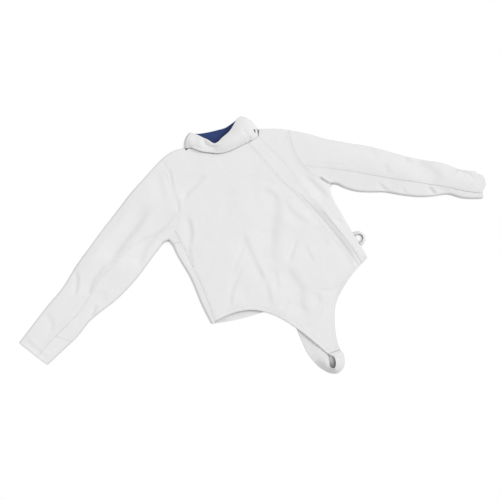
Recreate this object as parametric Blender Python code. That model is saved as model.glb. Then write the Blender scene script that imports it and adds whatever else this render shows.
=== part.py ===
"""A fencing jacket lying on its back on a flat surface, sleeves spread, zip closed.

Metres, +Z up, +Y towards the collar, +X towards the wearer's left side. Left and right
are the wearer's. The tables are in millimetres, as on a pattern sheet, measured from the
pit of the neck. Every panel is laid out in plan, wrapped over the folded edges of the
garment, and given the thickness of its cloth.
"""

from collections import namedtuple

import bpy
import numpy as np
from mathutils import Matrix

MM = 0.001

# Driving sizes
CLOTH = 1.8 * MM
COLLAR_CLOTH = 1.3 * MM
LINING = 1.0 * MM
STRAP = 1.8 * MM
TAPE = 1.2 * MM
SEAM_GAP = 0.3 * MM
FOLD = 6.5 * MM
LOFT = 4.0 * MM
LOFT_REACH = 45 * MM
TAIL_DROP = 9.5 * MM
TAIL_FROM = -470 * MM
TAIL_OVER = 120 * MM
PLACKET_RAISED = 0.5 * MM
PLACKET_SUNK = -2.2 * MM
CENTRE = np.array([-15.9, -334.8]) * MM

# The folded layers are a fold's diameter apart. Flat cloth reaches this much further
# out than the fold that it is wrapped over.
SLACK = (np.pi / 2 - 1) * FOLD

# Steps along each line, shared by the panels on both of its sides
SHOULDER_STEPS = 5
NECK_STEPS = 19
BODY_STEPS = 26
SLEEVE_STEPS = 22
TAIL_STEPS = 11
SIDE_STEPS = 16
GUSSET_STEPS = 2
CUFF_PIECE_STEPS = 3
PLACKET_STEPS = 3
ARMPIT_GRADING = 1.35
RIM_ANGLES = np.radians([90, 60, 30, 0])

# The wearer's right sleeve, from the armhole to the cuff: its upper edge, the seam
# along its top, and its lower edge.
Section = namedtuple("Section", "upper_x upper_y seam_x seam_y lower_x lower_y")
SLEEVE_RIGHT = [
    Section(-178, 29, -222, -165, -256, -192),
    Section(-238, 2, -266, -163, -290, -201),
    Section(-296, -25, -312, -163, -330, -223),
    Section(-349, -55, -357, -168, -372, -247),
    Section(-405, -86, -413, -192, -415, -267),
    Section(-461, -119, -460, -209, -462, -284),
    Section(-516, -152, -506, -237, -505, -294),
    Section(-576, -194, -548, -266, -544, -305),
    Section(-628, -220, -600, -290, -592, -330),
    Section(-680, -249, -643, -306, -640, -347),
    Section(-735, -280, -707, -335, -693, -365),
]
SLEEVE_LEFT = [
    Section(206, -37, 197, -155, 252, -234),
    Section(250, -66, 238, -177, 285, -262),
    Section(300, -106, 285, -204, 318, -288),
    Section(356, -143, 332, -233, 352, -305),
    Section(410, -177, 382, -266, 392, -322),
    Section(460, -215, 434, -300, 435, -350),
    Section(510, -255, 484, -330, 484, -378),
    Section(560, -289, 534, -361, 530, -396),
    Section(606, -318, 582, -392, 574, -409),
    Section(645, -355, 628, -425, 611, -438),
    Section(692, -383, 676, -453, 672, -467),
]
CUFF_BULGE_LEFT = [(702, -402), (698, -432)]

Place = namedtuple("Place", "x y")
SHOULDER_RIGHT = [Place(-101, 32), Place(-112, 35.5), Place(-130, 38.5), Place(-153, 37)]
SHOULDER_LEFT = [Place(122, 1), Place(150, -9), Place(178, -21)]
ARMHOLE_RIGHT = [
    Place(-174, -1),
    Place(-178, -31),
    Place(-185, -66),
    Place(-190, -105),
    Place(-202, -136),
    Place(-222, -165),
    Place(-230, -176),
]
ARMHOLE_LEFT = [
    Place(198, -56),
    Place(192, -83),
    Place(191, -119),
    Place(197, -155),
    Place(210, -183),
    Place(228, -207),
]
SIDE_RIGHT = [
    Place(-268, -190),
    Place(-256, -192),
    Place(-252, -204),
    Place(-252, -235),
    Place(-245, -308),
    Place(-248, -405),
    Place(-246, -457),
]
SIDE_LEFT = [
    Place(265, -240),
    Place(252, -234),
    Place(243, -242),
    Place(238, -262),
    Place(240, -318),
    Place(245, -383),
    Place(250, -434),
    Place(255, -478),
]
SIDE_SEAM = [
    Place(-230, -176),
    Place(-228, -213),
    Place(-227, -270),
    Place(-226, -320),
    Place(-229, -390),
    Place(-232, -424),
    Place(-235, -453),
]
NECK_FRONT = [
    Place(-90, 27),
    Place(-77, 17),
    Place(-62, 2),
    Place(-40, -12),
    Place(-24, -20),
    Place(-2, -26),
    Place(20, -28),
    Place(41, -27),
    Place(77, -25),
    Place(92, -24),
    Place(109, -20),
]
NECK_BACK = [Place(-60, 18), Place(0, 9), Place(60, -1)]
ZIP_RIGHT_EDGE = [
    Place(77, -25),
    Place(93, -80),
    Place(109, -136),
    Place(122, -177),
    Place(135, -207),
    Place(145, -242),
    Place(164, -303),
    Place(181, -363),
    Place(198, -429),
    Place(208, -492),
]
ZIP_LEFT_EDGE = [
    Place(109, -20),
    Place(117, -52),
    Place(139, -108),
    Place(153, -168),
    Place(156, -196),
    Place(168, -242),
    Place(185, -288),
    Place(200, -340),
    Place(220, -420),
    Place(230, -484),
]
HEM_FRONT = [
    Place(-235, -453),
    Place(-200, -453),
    Place(-159, -458),
    Place(-118, -473),
    Place(-102, -484),
    Place(-73, -510),
    Place(-47, -544),
    Place(-26, -579),
    Place(-1, -629),
    Place(21, -677),
]
TAIL_LEFT_EDGE = [
    Place(208, -492),
    Place(163, -515),
    Place(132, -536),
    Place(108, -557),
    Place(85, -594),
    Place(68, -635),
    Place(61, -661),
    Place(59, -682),
]
HEM_BACK = [
    Place(-235, -459),
    Place(-208, -467),
    Place(-157, -479),
    Place(-100, -488),
    Place(0, -498),
    Place(120, -500),
    Place(206, -492),
]

# Where the cloth stands higher or lower than the plain lay: centre, half length, half
# width, turn of the long axis in degrees, and height.
Swell = namedtuple("Swell", "x y along across turn height")
SWELLS = [
    Swell(-20, -150, 170, 110, 0, 2.5),
    Swell(-120, -455, 70, 35, -8, 2.5),
    Swell(-270, -75, 90, 55, -35, 3.0),
    Swell(-450, -190, 130, 40, -28, 2.5),
    Swell(290, -165, 95, 50, -38, 6.0),
    Swell(420, -250, 120, 42, -37, 7.5),
    Swell(560, -335, 90, 35, -33, 6.0),
    Swell(650, -405, 55, 35, -33, 3.0),
    Swell(105, -575, 75, 22, 62, -3.0),
    Swell(40, -672, 40, 40, 0, -1.5),
]

# The main folds: from one end to the other, how far the line bows to its left, depth
# (below nought for a trough), half width, and the soft lip raised beside it.
Crease = namedtuple("Crease", "x0 y0 x1 y1 bow depth width lip")
CREASES = [
    Crease(-96, -66, -196, -128, -10, -3.4, 11, 1),
    Crease(-186, -142, -222, -238, 12, -4.0, 10, -1),
    Crease(-60, -262, -176, -436, 14, -2.6, 10, 1),
    Crease(-62, -285, -70, -466, 6, -3.4, 11, -1),
    Crease(90, -185, -12, -385, 8, -3.8, 14, 1),
    Crease(102, -222, 160, -355, -10, -3.0, 12, -1),
    Crease(184, -166, 219, -274, 6, -5.0, 11, 1),
    Crease(84, -340, 34, -484, -12, -2.6, 10, 1),
    Crease(92, -366, 98, -422, 0, -2.4, 9, 1),
    Crease(-265, -82, -490, -205, -10, -3.2, 15, 1),
    Crease(-519, -160, -556, -250, 4, -3.4, 10, 1),
    Crease(-201, -134, -288, -168, 10, -2.6, 9, -1),
    Crease(386, -186, 424, -232, 0, -3.6, 14, 1),
    Crease(528, -285, 572, -364, 8, -4.4, 14, -1),
    Crease(640, -366, 664, -414, 9, -3.4, 10, 1),
    Crease(-20, -549, 74, -546, -16, -2.4, 10, 1),
]

# The collar, round the neck: its foot, its belly and its upper rim. Rows are counted in
# stretches: 0 to 1 over the front from the zip, 1 to 2 round the fold on the wearer's
# right, 2 to 3 along the back, 3 to 4 round the fold on the left, where it ends.
Stand = namedtuple("Stand", "at belly_x belly_y belly_z rim_x rim_y rim_z")
COLLAR = [
    Stand(0.00, 116, -3, 21.5, 99, 48, 16.5),
    Stand(0.10, 93, -12, 29, 78, 49, 23),
    Stand(0.25, 58, -16, 32, 44, 33, 28),
    Stand(0.43, 18, -17, 33, 8, 16, 30),
    Stand(0.59, -16, -12, 31, -20, 8, 28),
    Stand(0.73, -44, 6, 28, -34, 27, 25),
    Stand(0.88, -74, 27, 24.5, -51, 50, 21.5),
    Stand(1.00, -91, 37, 21, -63, 63, 18.5),
    Stand(1.25, -98.5, 42, 17.5, -67.5, 67.5, 16),
    Stand(1.50, -101.5, 45, 11, -69.5, 69.5, 11),
    Stand(1.75, -98.5, 43, 5, -67.5, 68, 5.5),
    Stand(2.00, -91, 40, 2, -62, 64, 3),
    Stand(2.20, -72, 36, 1.4, -40, 56, 3.5),
    Stand(2.50, 5, 24, 1.2, 6, 47, 4.5),
    Stand(2.80, 80, 18, 1.2, 62, 53, 4.0),
    Stand(3.00, 106.5, 15, 1.8, 84.5, 56, 4.0),
    Stand(3.30, 114, 13, 3.8, 91, 56.5, 5.2),
    Stand(3.65, 119, 10, 8.5, 95.5, 54.5, 8.2),
    Stand(4.00, 120.5, 7, 14.5, 97.5, 51, 12.5),
]
COLLAR_STEPS = (19, 8, 16, 5)
COLLAR_ROWS = 6
FRONT_FOOT_END = -92 * MM
BACK_FOOT = (-90 * MM, 108 * MM)
Spot = namedtuple("Spot", "x y z")
FOOT_TURN_RIGHT = [Spot(-98.2, 29.5, 12.2), Spot(-100.4, 31, 7), Spot(-98.2, 28, 1.8)]
FOOT_TURN_LEFT = [Spot(117, -2.5, 1.6), Spot(120.2, -1.5, 6), Spot(119.6, -4, 11)]

# The crotch strap: its outer edge on the surface, its inner edge and how high it arches
# between them, from the tail's tip, round the loop and under the tail to the back hem.
Band = namedtuple("Band", "outer_x outer_y outer_z inner_x inner_y inner_z arch")
CROTCH_STRAP = [
    Band(59, -683, 4.6, 22, -678, 6.4, 0),
    Band(63, -697, 1.2, 30, -690, 15, 0),
    Band(58, -716, 0, 29, -700, 20, 0),
    Band(45, -732, 0, 24, -711, 22, 0),
    Band(26, -738, 0, 16, -718, 22, 0),
    Band(8, -731, 0, 9, -713, 18, 1),
    Band(-9, -713, 0, 11, -702, 12, 6),
    Band(-22, -689, 0, 18, -689, 4, 11),
    Band(-28, -668, 0, 22, -680, 0.8, 5),
    Band(-32, -645, 0, 12, -650, 0.3, 0.5),
    Band(-32, -615, 0, 4, -618, 0, 0),
    Band(-30, -580, 0, 6, -580, 0, 0),
    Band(-27, -540, 0, 9, -540, 0, 0),
    Band(-25, -500, 0, 11, -500, 0, 0),
]
STRAP_RIDGE = 0.6

HIP_LOOP = [
    Place(249.0, -391),
    Place(259, -392),
    Place(270, -397),
    Place(278, -409),
    Place(278, -421),
    Place(271, -431),
    Place(261, -437),
    Place(252.0, -438),
]
HIP_LOOP_LOW = 1.0 * MM
HIP_LOOP_WIDTH = 12 * MM
HIP_LOOP_LEAN = np.radians(48)

HOOK_SIZE = (10 * MM, 3.2 * MM, 1.6 * MM)
HOOK_ROUNDING = 0.5 * MM
HOOK_LIFT = 0.6 * MM
HOOK_ROW, HOOK_COLUMN = 2, 1

Finish = namedtuple("Finish", "colour roughness metallic")
WHITE_CLOTH = Finish((0.80, 0.81, 0.81), 0.85, 0.0)
COLLAR_BLUE = Finish((0.035, 0.055, 0.14), 0.80, 0.0)
ELASTIC = Finish((0.72, 0.72, 0.71), 0.75, 0.0)
WHITE_TAPE = Finish((0.76, 0.77, 0.77), 0.80, 0.0)
DARK_METAL = Finish((0.16, 0.17, 0.19), 0.40, 0.9)

FINE = 24


def plan(rows):
    """Table rows in millimetres, as points in metres."""
    return np.array([tuple(row)[:2] for row in rows], float) * MM


def edge_of(sleeve, name):
    """One edge of a sleeve's table: upper, seam or lower."""
    return [Place(getattr(row, name + "_x"), getattr(row, name + "_y")) for row in sleeve]


def spline(points, spacing=None):
    """A smooth line through points, in FINE short steps from each point to the next."""
    steps = np.diff(points, axis=0)
    length = np.linalg.norm(steps, axis=1) if spacing is None else spacing
    length = length[:, None]
    slope = steps / length
    inner = (slope[:-1] * length[1:] + slope[1:] * length[:-1]) / (length[:-1] + length[1:])
    tangent = np.vstack([slope[:1], inner, slope[-1:]])
    t = np.linspace(0, 1, FINE, endpoint=False)[:, None]
    line = []
    for i, size in enumerate(length[:, 0]):
        start, end = points[i], points[i + 1]
        leaving, arriving = tangent[i] * size, tangent[i + 1] * size
        line.append(
            start * (1 - t) ** 2 * (1 + 2 * t)
            + end * t**2 * (3 - 2 * t)
            + leaving * t * (1 - t) ** 2
            - arriving * t**2 * (1 - t)
        )
    return np.vstack(line + [points[-1:]])


def divided(line, steps, grading=1.0, axes=2):
    """A line cut into steps along its length, shorter at its start if grading is over 1."""
    way = np.concatenate([[0], np.cumsum(np.linalg.norm(np.diff(line[:, :axes], axis=0), axis=1))])
    at = way[-1] * np.linspace(0, 1, steps + 1) ** grading
    return np.column_stack([np.interp(at, way, column) for column in line.T])


def through(points, *stops):
    """A smooth line through points. Each stop is the row where a stretch ends and its steps."""
    line = spline(np.asarray(points, float))
    parts, start = [line[:1]], 0
    for row, steps in stops:
        parts.append(divided(line[start * FINE : row * FINE + 1], steps)[1:])
        start = row
    return np.vstack(parts)


def smoothstep(x):
    x = np.clip(x, 0, 1)
    return x * x * (3 - 2 * x)


class FoldedEdge:
    """A stretch of the garment's folded outline, with the direction into the cloth."""

    def __init__(self, points, inward):
        self.points, self.inward = points, inward

    def inset(self, distance):
        return self.points + self.inward * distance

    def part(self, first, last):
        return FoldedEdge(self.points[first : last + 1], self.inward[first : last + 1])

    def turned(self):
        return FoldedEdge(self.points[::-1], self.inward[::-1])


def folded_edge(rows, cloth_on_left, *stops):
    """A folded edge through table rows. Each stop is (row, steps, grading)."""
    line = spline(plan(rows))
    along = np.gradient(line, axis=0)
    along /= np.linalg.norm(along, axis=1)[:, None]
    left = np.column_stack([-along[:, 1], along[:, 0]])
    line = np.hstack([line, left if cloth_on_left else -left])
    parts, start = [line[:1]], 0
    for row, steps, grading in stops:
        piece = line[start * FINE : row * FINE + 1]
        if grading < 1:
            piece = divided(piece[::-1], steps, 1 / grading)[::-1]
        else:
            piece = divided(piece, steps, grading)
        parts.append(piece[1:])
        start = row
    line = np.vstack(parts)
    inward = line[:, 2:] / np.linalg.norm(line[:, 2:], axis=1)[:, None]
    return FoldedEdge(line[:, :2], inward)


# The garment's folded outline, in four runs
TOP_RIGHT = folded_edge(
    SHOULDER_RIGHT + edge_of(SLEEVE_RIGHT, "upper"),
    True,
    (len(SHOULDER_RIGHT), SHOULDER_STEPS, 1.0),
    (len(SHOULDER_RIGHT) + len(SLEEVE_RIGHT) - 1, SLEEVE_STEPS, 1.0),
)
TOP_LEFT = folded_edge(
    SHOULDER_LEFT + edge_of(SLEEVE_LEFT, "upper"),
    False,
    (len(SHOULDER_LEFT), SHOULDER_STEPS, 1.0),
    (len(SHOULDER_LEFT) + len(SLEEVE_LEFT) - 1, SLEEVE_STEPS, 1.0),
)
UNDER_RIGHT = folded_edge(
    edge_of(SLEEVE_RIGHT, "lower")[:0:-1] + SIDE_RIGHT,
    True,
    (len(SLEEVE_RIGHT), SLEEVE_STEPS, 1 / ARMPIT_GRADING),
    (len(SLEEVE_RIGHT) + len(SIDE_RIGHT) - 2, SIDE_STEPS, ARMPIT_GRADING),
)
LEFT_SIDE_STEPS = BODY_STEPS - 12
UNDER_LEFT = folded_edge(
    edge_of(SLEEVE_LEFT, "lower")[:0:-1] + SIDE_LEFT,
    False,
    (len(SLEEVE_LEFT), SLEEVE_STEPS, 1 / ARMPIT_GRADING),
    (len(SLEEVE_LEFT) + len(SIDE_LEFT) - 2, LEFT_SIDE_STEPS, ARMPIT_GRADING),
)
FOLD_LINES = [run.points for run in (TOP_RIGHT, TOP_LEFT, UNDER_RIGHT, UNDER_LEFT)]

SHOULDER_EDGE_RIGHT = TOP_RIGHT.part(0, SHOULDER_STEPS)
SHOULDER_EDGE_LEFT = TOP_LEFT.part(0, SHOULDER_STEPS)
SLEEVE_TOP_RIGHT = TOP_RIGHT.part(SHOULDER_STEPS, SHOULDER_STEPS + SLEEVE_STEPS)
SLEEVE_TOP_LEFT = TOP_LEFT.part(SHOULDER_STEPS, SHOULDER_STEPS + SLEEVE_STEPS)
SLEEVE_UNDER_RIGHT = UNDER_RIGHT.part(0, SLEEVE_STEPS).turned()
SLEEVE_UNDER_LEFT = UNDER_LEFT.part(0, SLEEVE_STEPS).turned()
SIDE_EDGE_RIGHT = UNDER_RIGHT.part(SLEEVE_STEPS, SLEEVE_STEPS + SIDE_STEPS)
SIDE_EDGE_LEFT = UNDER_LEFT.part(SLEEVE_STEPS, SLEEVE_STEPS + LEFT_SIDE_STEPS)

# Seams that start or end on a folded edge run from the inner side of its fold
ARM_RIGHT = through(
    np.vstack([SLEEVE_TOP_RIGHT.inset(FOLD)[:1], plan(ARMHOLE_RIGHT), SIDE_EDGE_RIGHT.inset(FOLD)[:1]]),
    (6, 9),
    (7, 1),
    (8, 2),
)
ARM_RIGHT_SEAM, ARM_RIGHT_SIDE = 9, 10
ARM_LEFT = through(
    np.vstack([SLEEVE_TOP_LEFT.inset(FOLD)[:1], plan(ARMHOLE_LEFT), SIDE_EDGE_LEFT.inset(FOLD)[:1]]),
    (4, 7),
    (7, 5),
)
ARM_LEFT_SEAM = 7
SIDE_LINE = through(np.vstack([ARM_RIGHT[ARM_RIGHT_SIDE], plan(SIDE_SEAM)[1:]]), (len(SIDE_SEAM) - 1, SIDE_STEPS))
NECK = through(
    np.vstack(
        [
            SHOULDER_EDGE_RIGHT.inset(FOLD)[:1],
            plan(NECK_FRONT),
            SHOULDER_EDGE_LEFT.inset(FOLD)[:1],
        ]
    ),
    (9, NECK_STEPS),
    (11, PLACKET_STEPS),
    (12, 2),
)
NECK_PLACKET = NECK_STEPS + PLACKET_STEPS
BACK_NECK_STEPS = NECK_STEPS - 5
BACK_NECK = through(
    np.vstack(
        [
            SHOULDER_EDGE_RIGHT.inset(FOLD)[:1],
            plan(NECK_BACK),
            SHOULDER_EDGE_LEFT.inset(FOLD)[:1],
        ]
    ),
    (4, BACK_NECK_STEPS),
)
ZIP_RIGHT = through(plan(ZIP_RIGHT_EDGE), (len(ZIP_RIGHT_EDGE) - 1, BODY_STEPS))
ZIP_LEFT = through(plan(ZIP_LEFT_EDGE), (len(ZIP_LEFT_EDGE) - 1, BODY_STEPS))
HEM_ROWS = 4
BODY_COLUMNS = SHOULDER_STEPS + NECK_STEPS
HEM_STEPS = BODY_COLUMNS // 3
HEM = through(plan(HEM_FRONT), (HEM_ROWS, HEM_STEPS), (len(HEM_FRONT) - 1, TAIL_STEPS))
TAIL_LEFT = through(plan(TAIL_LEFT_EDGE), (len(TAIL_LEFT_EDGE) - 1, TAIL_STEPS))


def from_folds(points):
    """Distance of plan points from the nearest folded edge."""
    nearest = np.full(len(points), 1.0)
    for line in FOLD_LINES:
        start, step = line[:-1], np.diff(line, axis=0)
        size = (step**2).sum(1)
        off = points[:, None] - start
        share = np.clip((off * step).sum(2) / size, 0, 1)
        gap = np.linalg.norm(off - share[..., None] * step, axis=2)
        nearest = np.minimum(nearest, gap.min(1))
    return nearest


def swell_height(points, swell):
    turn = np.radians(swell.turn)
    off = points - np.array([swell.x, swell.y]) * MM
    along = off @ np.array([np.cos(turn), np.sin(turn)]) / (swell.along * MM)
    across = off @ np.array([-np.sin(turn), np.cos(turn)]) / (swell.across * MM)
    return swell.height * MM * np.exp(-(along**2) - across**2)


def crease_height(points, crease):
    start, end = np.array([crease.x0, crease.y0]) * MM, np.array([crease.x1, crease.y1]) * MM
    length = np.linalg.norm(end - start)
    along = (end - start) / length
    off = points - start
    share = off @ along / length
    aside = off @ np.array([-along[1], along[0]])
    aside = aside - crease.bow * MM * 4 * share * (1 - share)
    width = crease.width * MM
    fade = smoothstep(share / 0.3 + 0.25) * smoothstep((1 - share) / 0.3 + 0.25)
    trough = np.exp(-((aside / width) ** 2))
    lip = np.exp(-(((aside - crease.lip * 1.9 * width) / (1.3 * width)) ** 2))
    return crease.depth * MM * fade * (trough - 0.45 * abs(crease.lip) * lip)


def lay_height(points):
    """How far the upper layer stands above a flat fold's top at plan points."""
    away = from_folds(points)
    height = LOFT * (1 - np.exp(-np.maximum(away - FOLD, 0) / LOFT_REACH))
    height -= TAIL_DROP * smoothstep((TAIL_FROM - points[:, 1]) / TAIL_OVER)
    for swell in SWELLS:
        height += swell_height(points, swell)
    for crease in CREASES:
        height += crease_height(points, crease)
    return height


def upper_normals(points):
    """Directions off the upper layer at plan points."""
    step = 1.0 * MM
    here = lay_height(points)
    slope_x = (lay_height(points + [step, 0]) - here) / step
    slope_y = (lay_height(points + [0, step]) - here) / step
    normal = np.column_stack([-slope_x, -slope_y, np.ones(len(points))])
    return here, normal / np.linalg.norm(normal, axis=1)[:, None]


class Patch:
    """A grid of cloth: plan points, turn over the fold (90 degrees on top, -90 below),
    the direction out of the garment, and a lift off the lay."""

    def __init__(self, points, turn=np.pi / 2, outward=0.0, lift=0.0):
        self.points = points
        self.turn = np.broadcast_to(turn, points.shape[:2])
        self.outward = np.broadcast_to(outward, points.shape)
        self.lift = np.broadcast_to(lift, points.shape[:2])

    def surface(self):
        """The patch's outer points and the directions off them."""
        flat = self.points.reshape(-1, 2)
        turn, outward = self.turn.reshape(-1), self.outward.reshape(-1, 2)
        extra, top = upper_normals(flat)
        upper = np.maximum(np.sin(turn), 0)
        height = FOLD * (1 + np.sin(turn)) + upper**2 * extra + self.lift.reshape(-1)
        normal = np.hstack([outward * np.cos(turn)[:, None], np.minimum(np.sin(turn), 0)[:, None]])
        normal += top * upper[:, None]
        normal /= np.linalg.norm(normal, axis=1)[:, None]
        shape = self.points.shape[:2] + (3,)
        return np.column_stack([flat, height]).reshape(shape), normal.reshape(shape)


def between(left, right, top, bottom):
    """Plan points between four lines. left and right run down, top and bottom run across."""
    down = np.linspace(0, 1, len(left))[:, None, None]
    across = np.linspace(0, 1, len(top))[None, :, None]
    sides = (1 - across) * left[:, None] + across * right[:, None]
    ends = (1 - down) * top[None] + down * bottom[None]
    corners = (1 - down) * ((1 - across) * top[0] + across * top[-1])
    corners = corners + down * ((1 - across) * bottom[0] + across * bottom[-1])
    return sides + ends - corners


def over_fold(edge):
    """The two patches that wrap cloth over a folded edge, from its top to its underside."""
    patches = []
    for sign in (1, -1):
        angles = RIM_ANGLES * sign
        points = np.stack([edge.inset(FOLD * (1 - np.cos(a))) for a in angles], axis=1)
        outward = np.repeat(-edge.inward[:, None], len(angles), axis=1)
        patches.append(Patch(points, angles[None, :], outward))
    return patches


def under(points):
    """A patch of the lower layer, flat on the surface."""
    return Patch(points, -np.pi / 2)


def joined(grids, merged=True):
    """Grids of points and normals as one mesh: points, normals and four-sided faces."""
    points, normals, faces, count = [], [], [], 0
    for grid, normal in grids:
        rows, columns = grid.shape[:2]
        index = np.arange(rows * columns).reshape(rows, columns) + count
        quads = np.stack([index[:-1, :-1], index[:-1, 1:], index[1:, 1:], index[1:, :-1]], -1).reshape(-1, 4)
        flat, facing = grid.reshape(-1, 3), normal.reshape(-1, 3)
        local = quads - count
        diagonal = np.cross(flat[local[:, 2]] - flat[local[:, 0]], flat[local[:, 3]] - flat[local[:, 1]])
        if (diagonal * facing[local[:, 0]]).sum() < 0:
            quads = quads[:, ::-1]
        points.append(flat)
        normals.append(facing)
        faces.append(quads)
        count += rows * columns
    points, normals, faces = np.vstack(points), np.vstack(normals), np.vstack(faces)
    if not merged:
        return points, normals, faces
    keys, first, same = np.unique(
        np.round(points / (1e-6)).astype(np.int64), axis=0, return_index=True, return_inverse=True
    )
    same = same.reshape(-1)
    return points[first], normals[first], same[faces]


def border(faces):
    """The edges that only one face has, as that face runs them."""
    edges = np.concatenate([np.column_stack([faces[:, i], faces[:, (i + 1) % 4]]) for i in range(4)])
    edges = edges[edges[:, 0] != edges[:, 1]]
    known = {tuple(edge) for edge in edges}
    return np.array([edge for edge in edges if (edge[1], edge[0]) not in known])


def trimmed(points, normals, edges, amount):
    """The points with the border drawn in by amount, along the cloth."""
    step = points[edges[:, 1]] - points[edges[:, 0]]
    inward = np.cross(normals[edges[:, 0]] + normals[edges[:, 1]], step)
    inward /= np.linalg.norm(inward, axis=1)[:, None]
    before, after = np.zeros_like(points), np.zeros_like(points)
    before[edges[:, 1]] = inward
    after[edges[:, 0]] = inward
    both = 1 + (before * after).sum(1)[:, None]
    return points + amount * (before + after) / np.maximum(both, 0.35)


def material(name, finish):
    made = bpy.data.materials.new(name)
    made.use_nodes = True
    shader = made.node_tree.nodes["Principled BSDF"]
    shader.inputs["Base Color"].default_value = (*finish.colour, 1)
    shader.inputs["Roughness"].default_value = finish.roughness
    shader.inputs["Metallic"].default_value = finish.metallic
    return made


def solid(name, points, normals, faces, thickness, finish, trim=SEAM_GAP / 2):
    """A wall of cloth under its outer points, as one closed object."""
    edges = border(faces)
    outer = trimmed(points, normals, edges, trim)
    outer[:, 2] = np.maximum(outer[:, 2], 0)
    inner = outer - normals * thickness
    count = len(outer)
    triangles = [tuple(t) for quad in faces for t in (quad[[0, 1, 2]], quad[[0, 2, 3]]) if len(set(t)) == 3]
    inside = [(a + count, c + count, b + count) for a, b, c in triangles]
    rim = []
    for a, b in edges:
        rim += [(b, a, a + count), (b, a + count, b + count)]
    places = np.vstack([outer, inner])
    places[:, 2] = np.maximum(places[:, 2], 0)
    places[:, :2] -= CENTRE
    mesh = bpy.data.meshes.new(name)
    mesh.from_pydata(places.tolist(), [], [tuple(int(i) for i in t) for t in triangles + inside + rim])
    mesh.materials.append(finish)
    mesh.shade_smooth()
    mesh.set_sharp_from_angle(angle=np.radians(50))
    made = bpy.data.objects.new(name, mesh)
    bpy.context.scene.collection.objects.link(made)
    return made


def panel(name, patches, finish):
    points, normals, faces = joined([patch.surface() for patch in patches])
    return solid(name, points, normals, faces, CLOTH, finish)


def make_fronts(cloth):
    top = np.vstack([SHOULDER_EDGE_RIGHT.inset(FOLD)[::-1], NECK[1 : NECK_STEPS + 1]])
    left = np.vstack([ARM_RIGHT[: ARM_RIGHT_SIDE + 1], SIDE_LINE[1:]])
    waist_left, waist_right = HEM[HEM_STEPS], ZIP_RIGHT[-1]
    waist = waist_left + (waist_right - waist_left) * np.linspace(0, 1, BODY_COLUMNS - HEM_STEPS + 1)[:, None]
    body = between(left, ZIP_RIGHT, top, np.vstack([HEM[: HEM_STEPS + 1], waist[1:]]))
    tip = HEM[-1] + (TAIL_LEFT[-1] - HEM[-1]) * np.linspace(0, 1, len(waist))[:, None]
    tail = between(HEM[HEM_STEPS:], TAIL_LEFT, waist, tip)
    panel("front_right", [Patch(body), Patch(tail)] + over_fold(SHOULDER_EDGE_RIGHT), cloth)

    hem = through(np.vstack([ZIP_LEFT[-1:], SIDE_EDGE_LEFT.inset(FOLD)[-1:]]), (1, SHOULDER_STEPS + 2))
    top = np.vstack([NECK[NECK_PLACKET:], SHOULDER_EDGE_LEFT.inset(FOLD)[1:]])
    right = np.vstack([ARM_LEFT, SIDE_EDGE_LEFT.inset(FOLD)[1:]])
    side = Patch(between(ZIP_LEFT, right, top, hem))
    panel("front_left", [side] + over_fold(SHOULDER_EDGE_LEFT) + over_fold(SIDE_EDGE_LEFT), cloth)


def make_placket(cloth):
    top = NECK[NECK_STEPS : NECK_PLACKET + 1]
    bottom = ZIP_RIGHT[-1] + (ZIP_LEFT[-1] - ZIP_RIGHT[-1]) * np.linspace(0, 1, PLACKET_STEPS + 1)[:, None]
    points = between(ZIP_RIGHT, ZIP_LEFT, top, bottom)
    down = np.linspace(0, 1, BODY_STEPS + 1)[:, None]
    lift = PLACKET_RAISED + (PLACKET_SUNK - PLACKET_RAISED) * smoothstep((down - 0.4) / 0.35)
    panel("zip_placket", [Patch(points, lift=lift)], cloth)


def make_back(cloth):
    top = np.vstack(
        [
            SHOULDER_EDGE_RIGHT.inset(FOLD)[::-1],
            BACK_NECK[1:],
            SHOULDER_EDGE_LEFT.inset(FOLD)[1:],
        ]
    )
    left = np.vstack([ARM_RIGHT[: ARM_RIGHT_SIDE + 1], SIDE_LINE[1:]])
    left[-1] = plan(HEM_BACK)[0]
    right = np.vstack([ARM_LEFT, SIDE_EDGE_LEFT.inset(FOLD)[1:]])
    hem = through(np.vstack([plan(HEM_BACK), right[-1:]]), (len(HEM_BACK), len(top) - 1))
    panel("back", [under(between(left, right, top, hem))], cloth)


def make_side(cloth):
    inset = SIDE_EDGE_RIGHT.inset(FOLD)
    top = ARM_RIGHT[: ARM_RIGHT_SIDE - 1 : -1]
    bottom = np.linspace(inset[-1], SIDE_LINE[-1], len(top))
    strip = between(inset, SIDE_LINE, top, bottom)
    stretches = [("underarm_gusset", 0, GUSSET_STEPS), ("side_panel", GUSSET_STEPS, SIDE_STEPS)]
    for name, first, last in stretches:
        rows = strip[first : last + 1]
        panel(name, [Patch(rows), under(rows)] + over_fold(SIDE_EDGE_RIGHT.part(first, last)), cloth)


def cuff_line(top_edge, under_edge, seam_end, bulge, steps):
    """The sleeve's end, from its upper edge over the seam to its lower edge."""
    rows = [top_edge.inset(FOLD)[-1:], *bulge, seam_end[None], under_edge.inset(FOLD)[-1:]]
    points = np.vstack(rows)
    return through(points, (len(points) - 2, steps[0]), (len(points) - 1, steps[1]))


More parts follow.
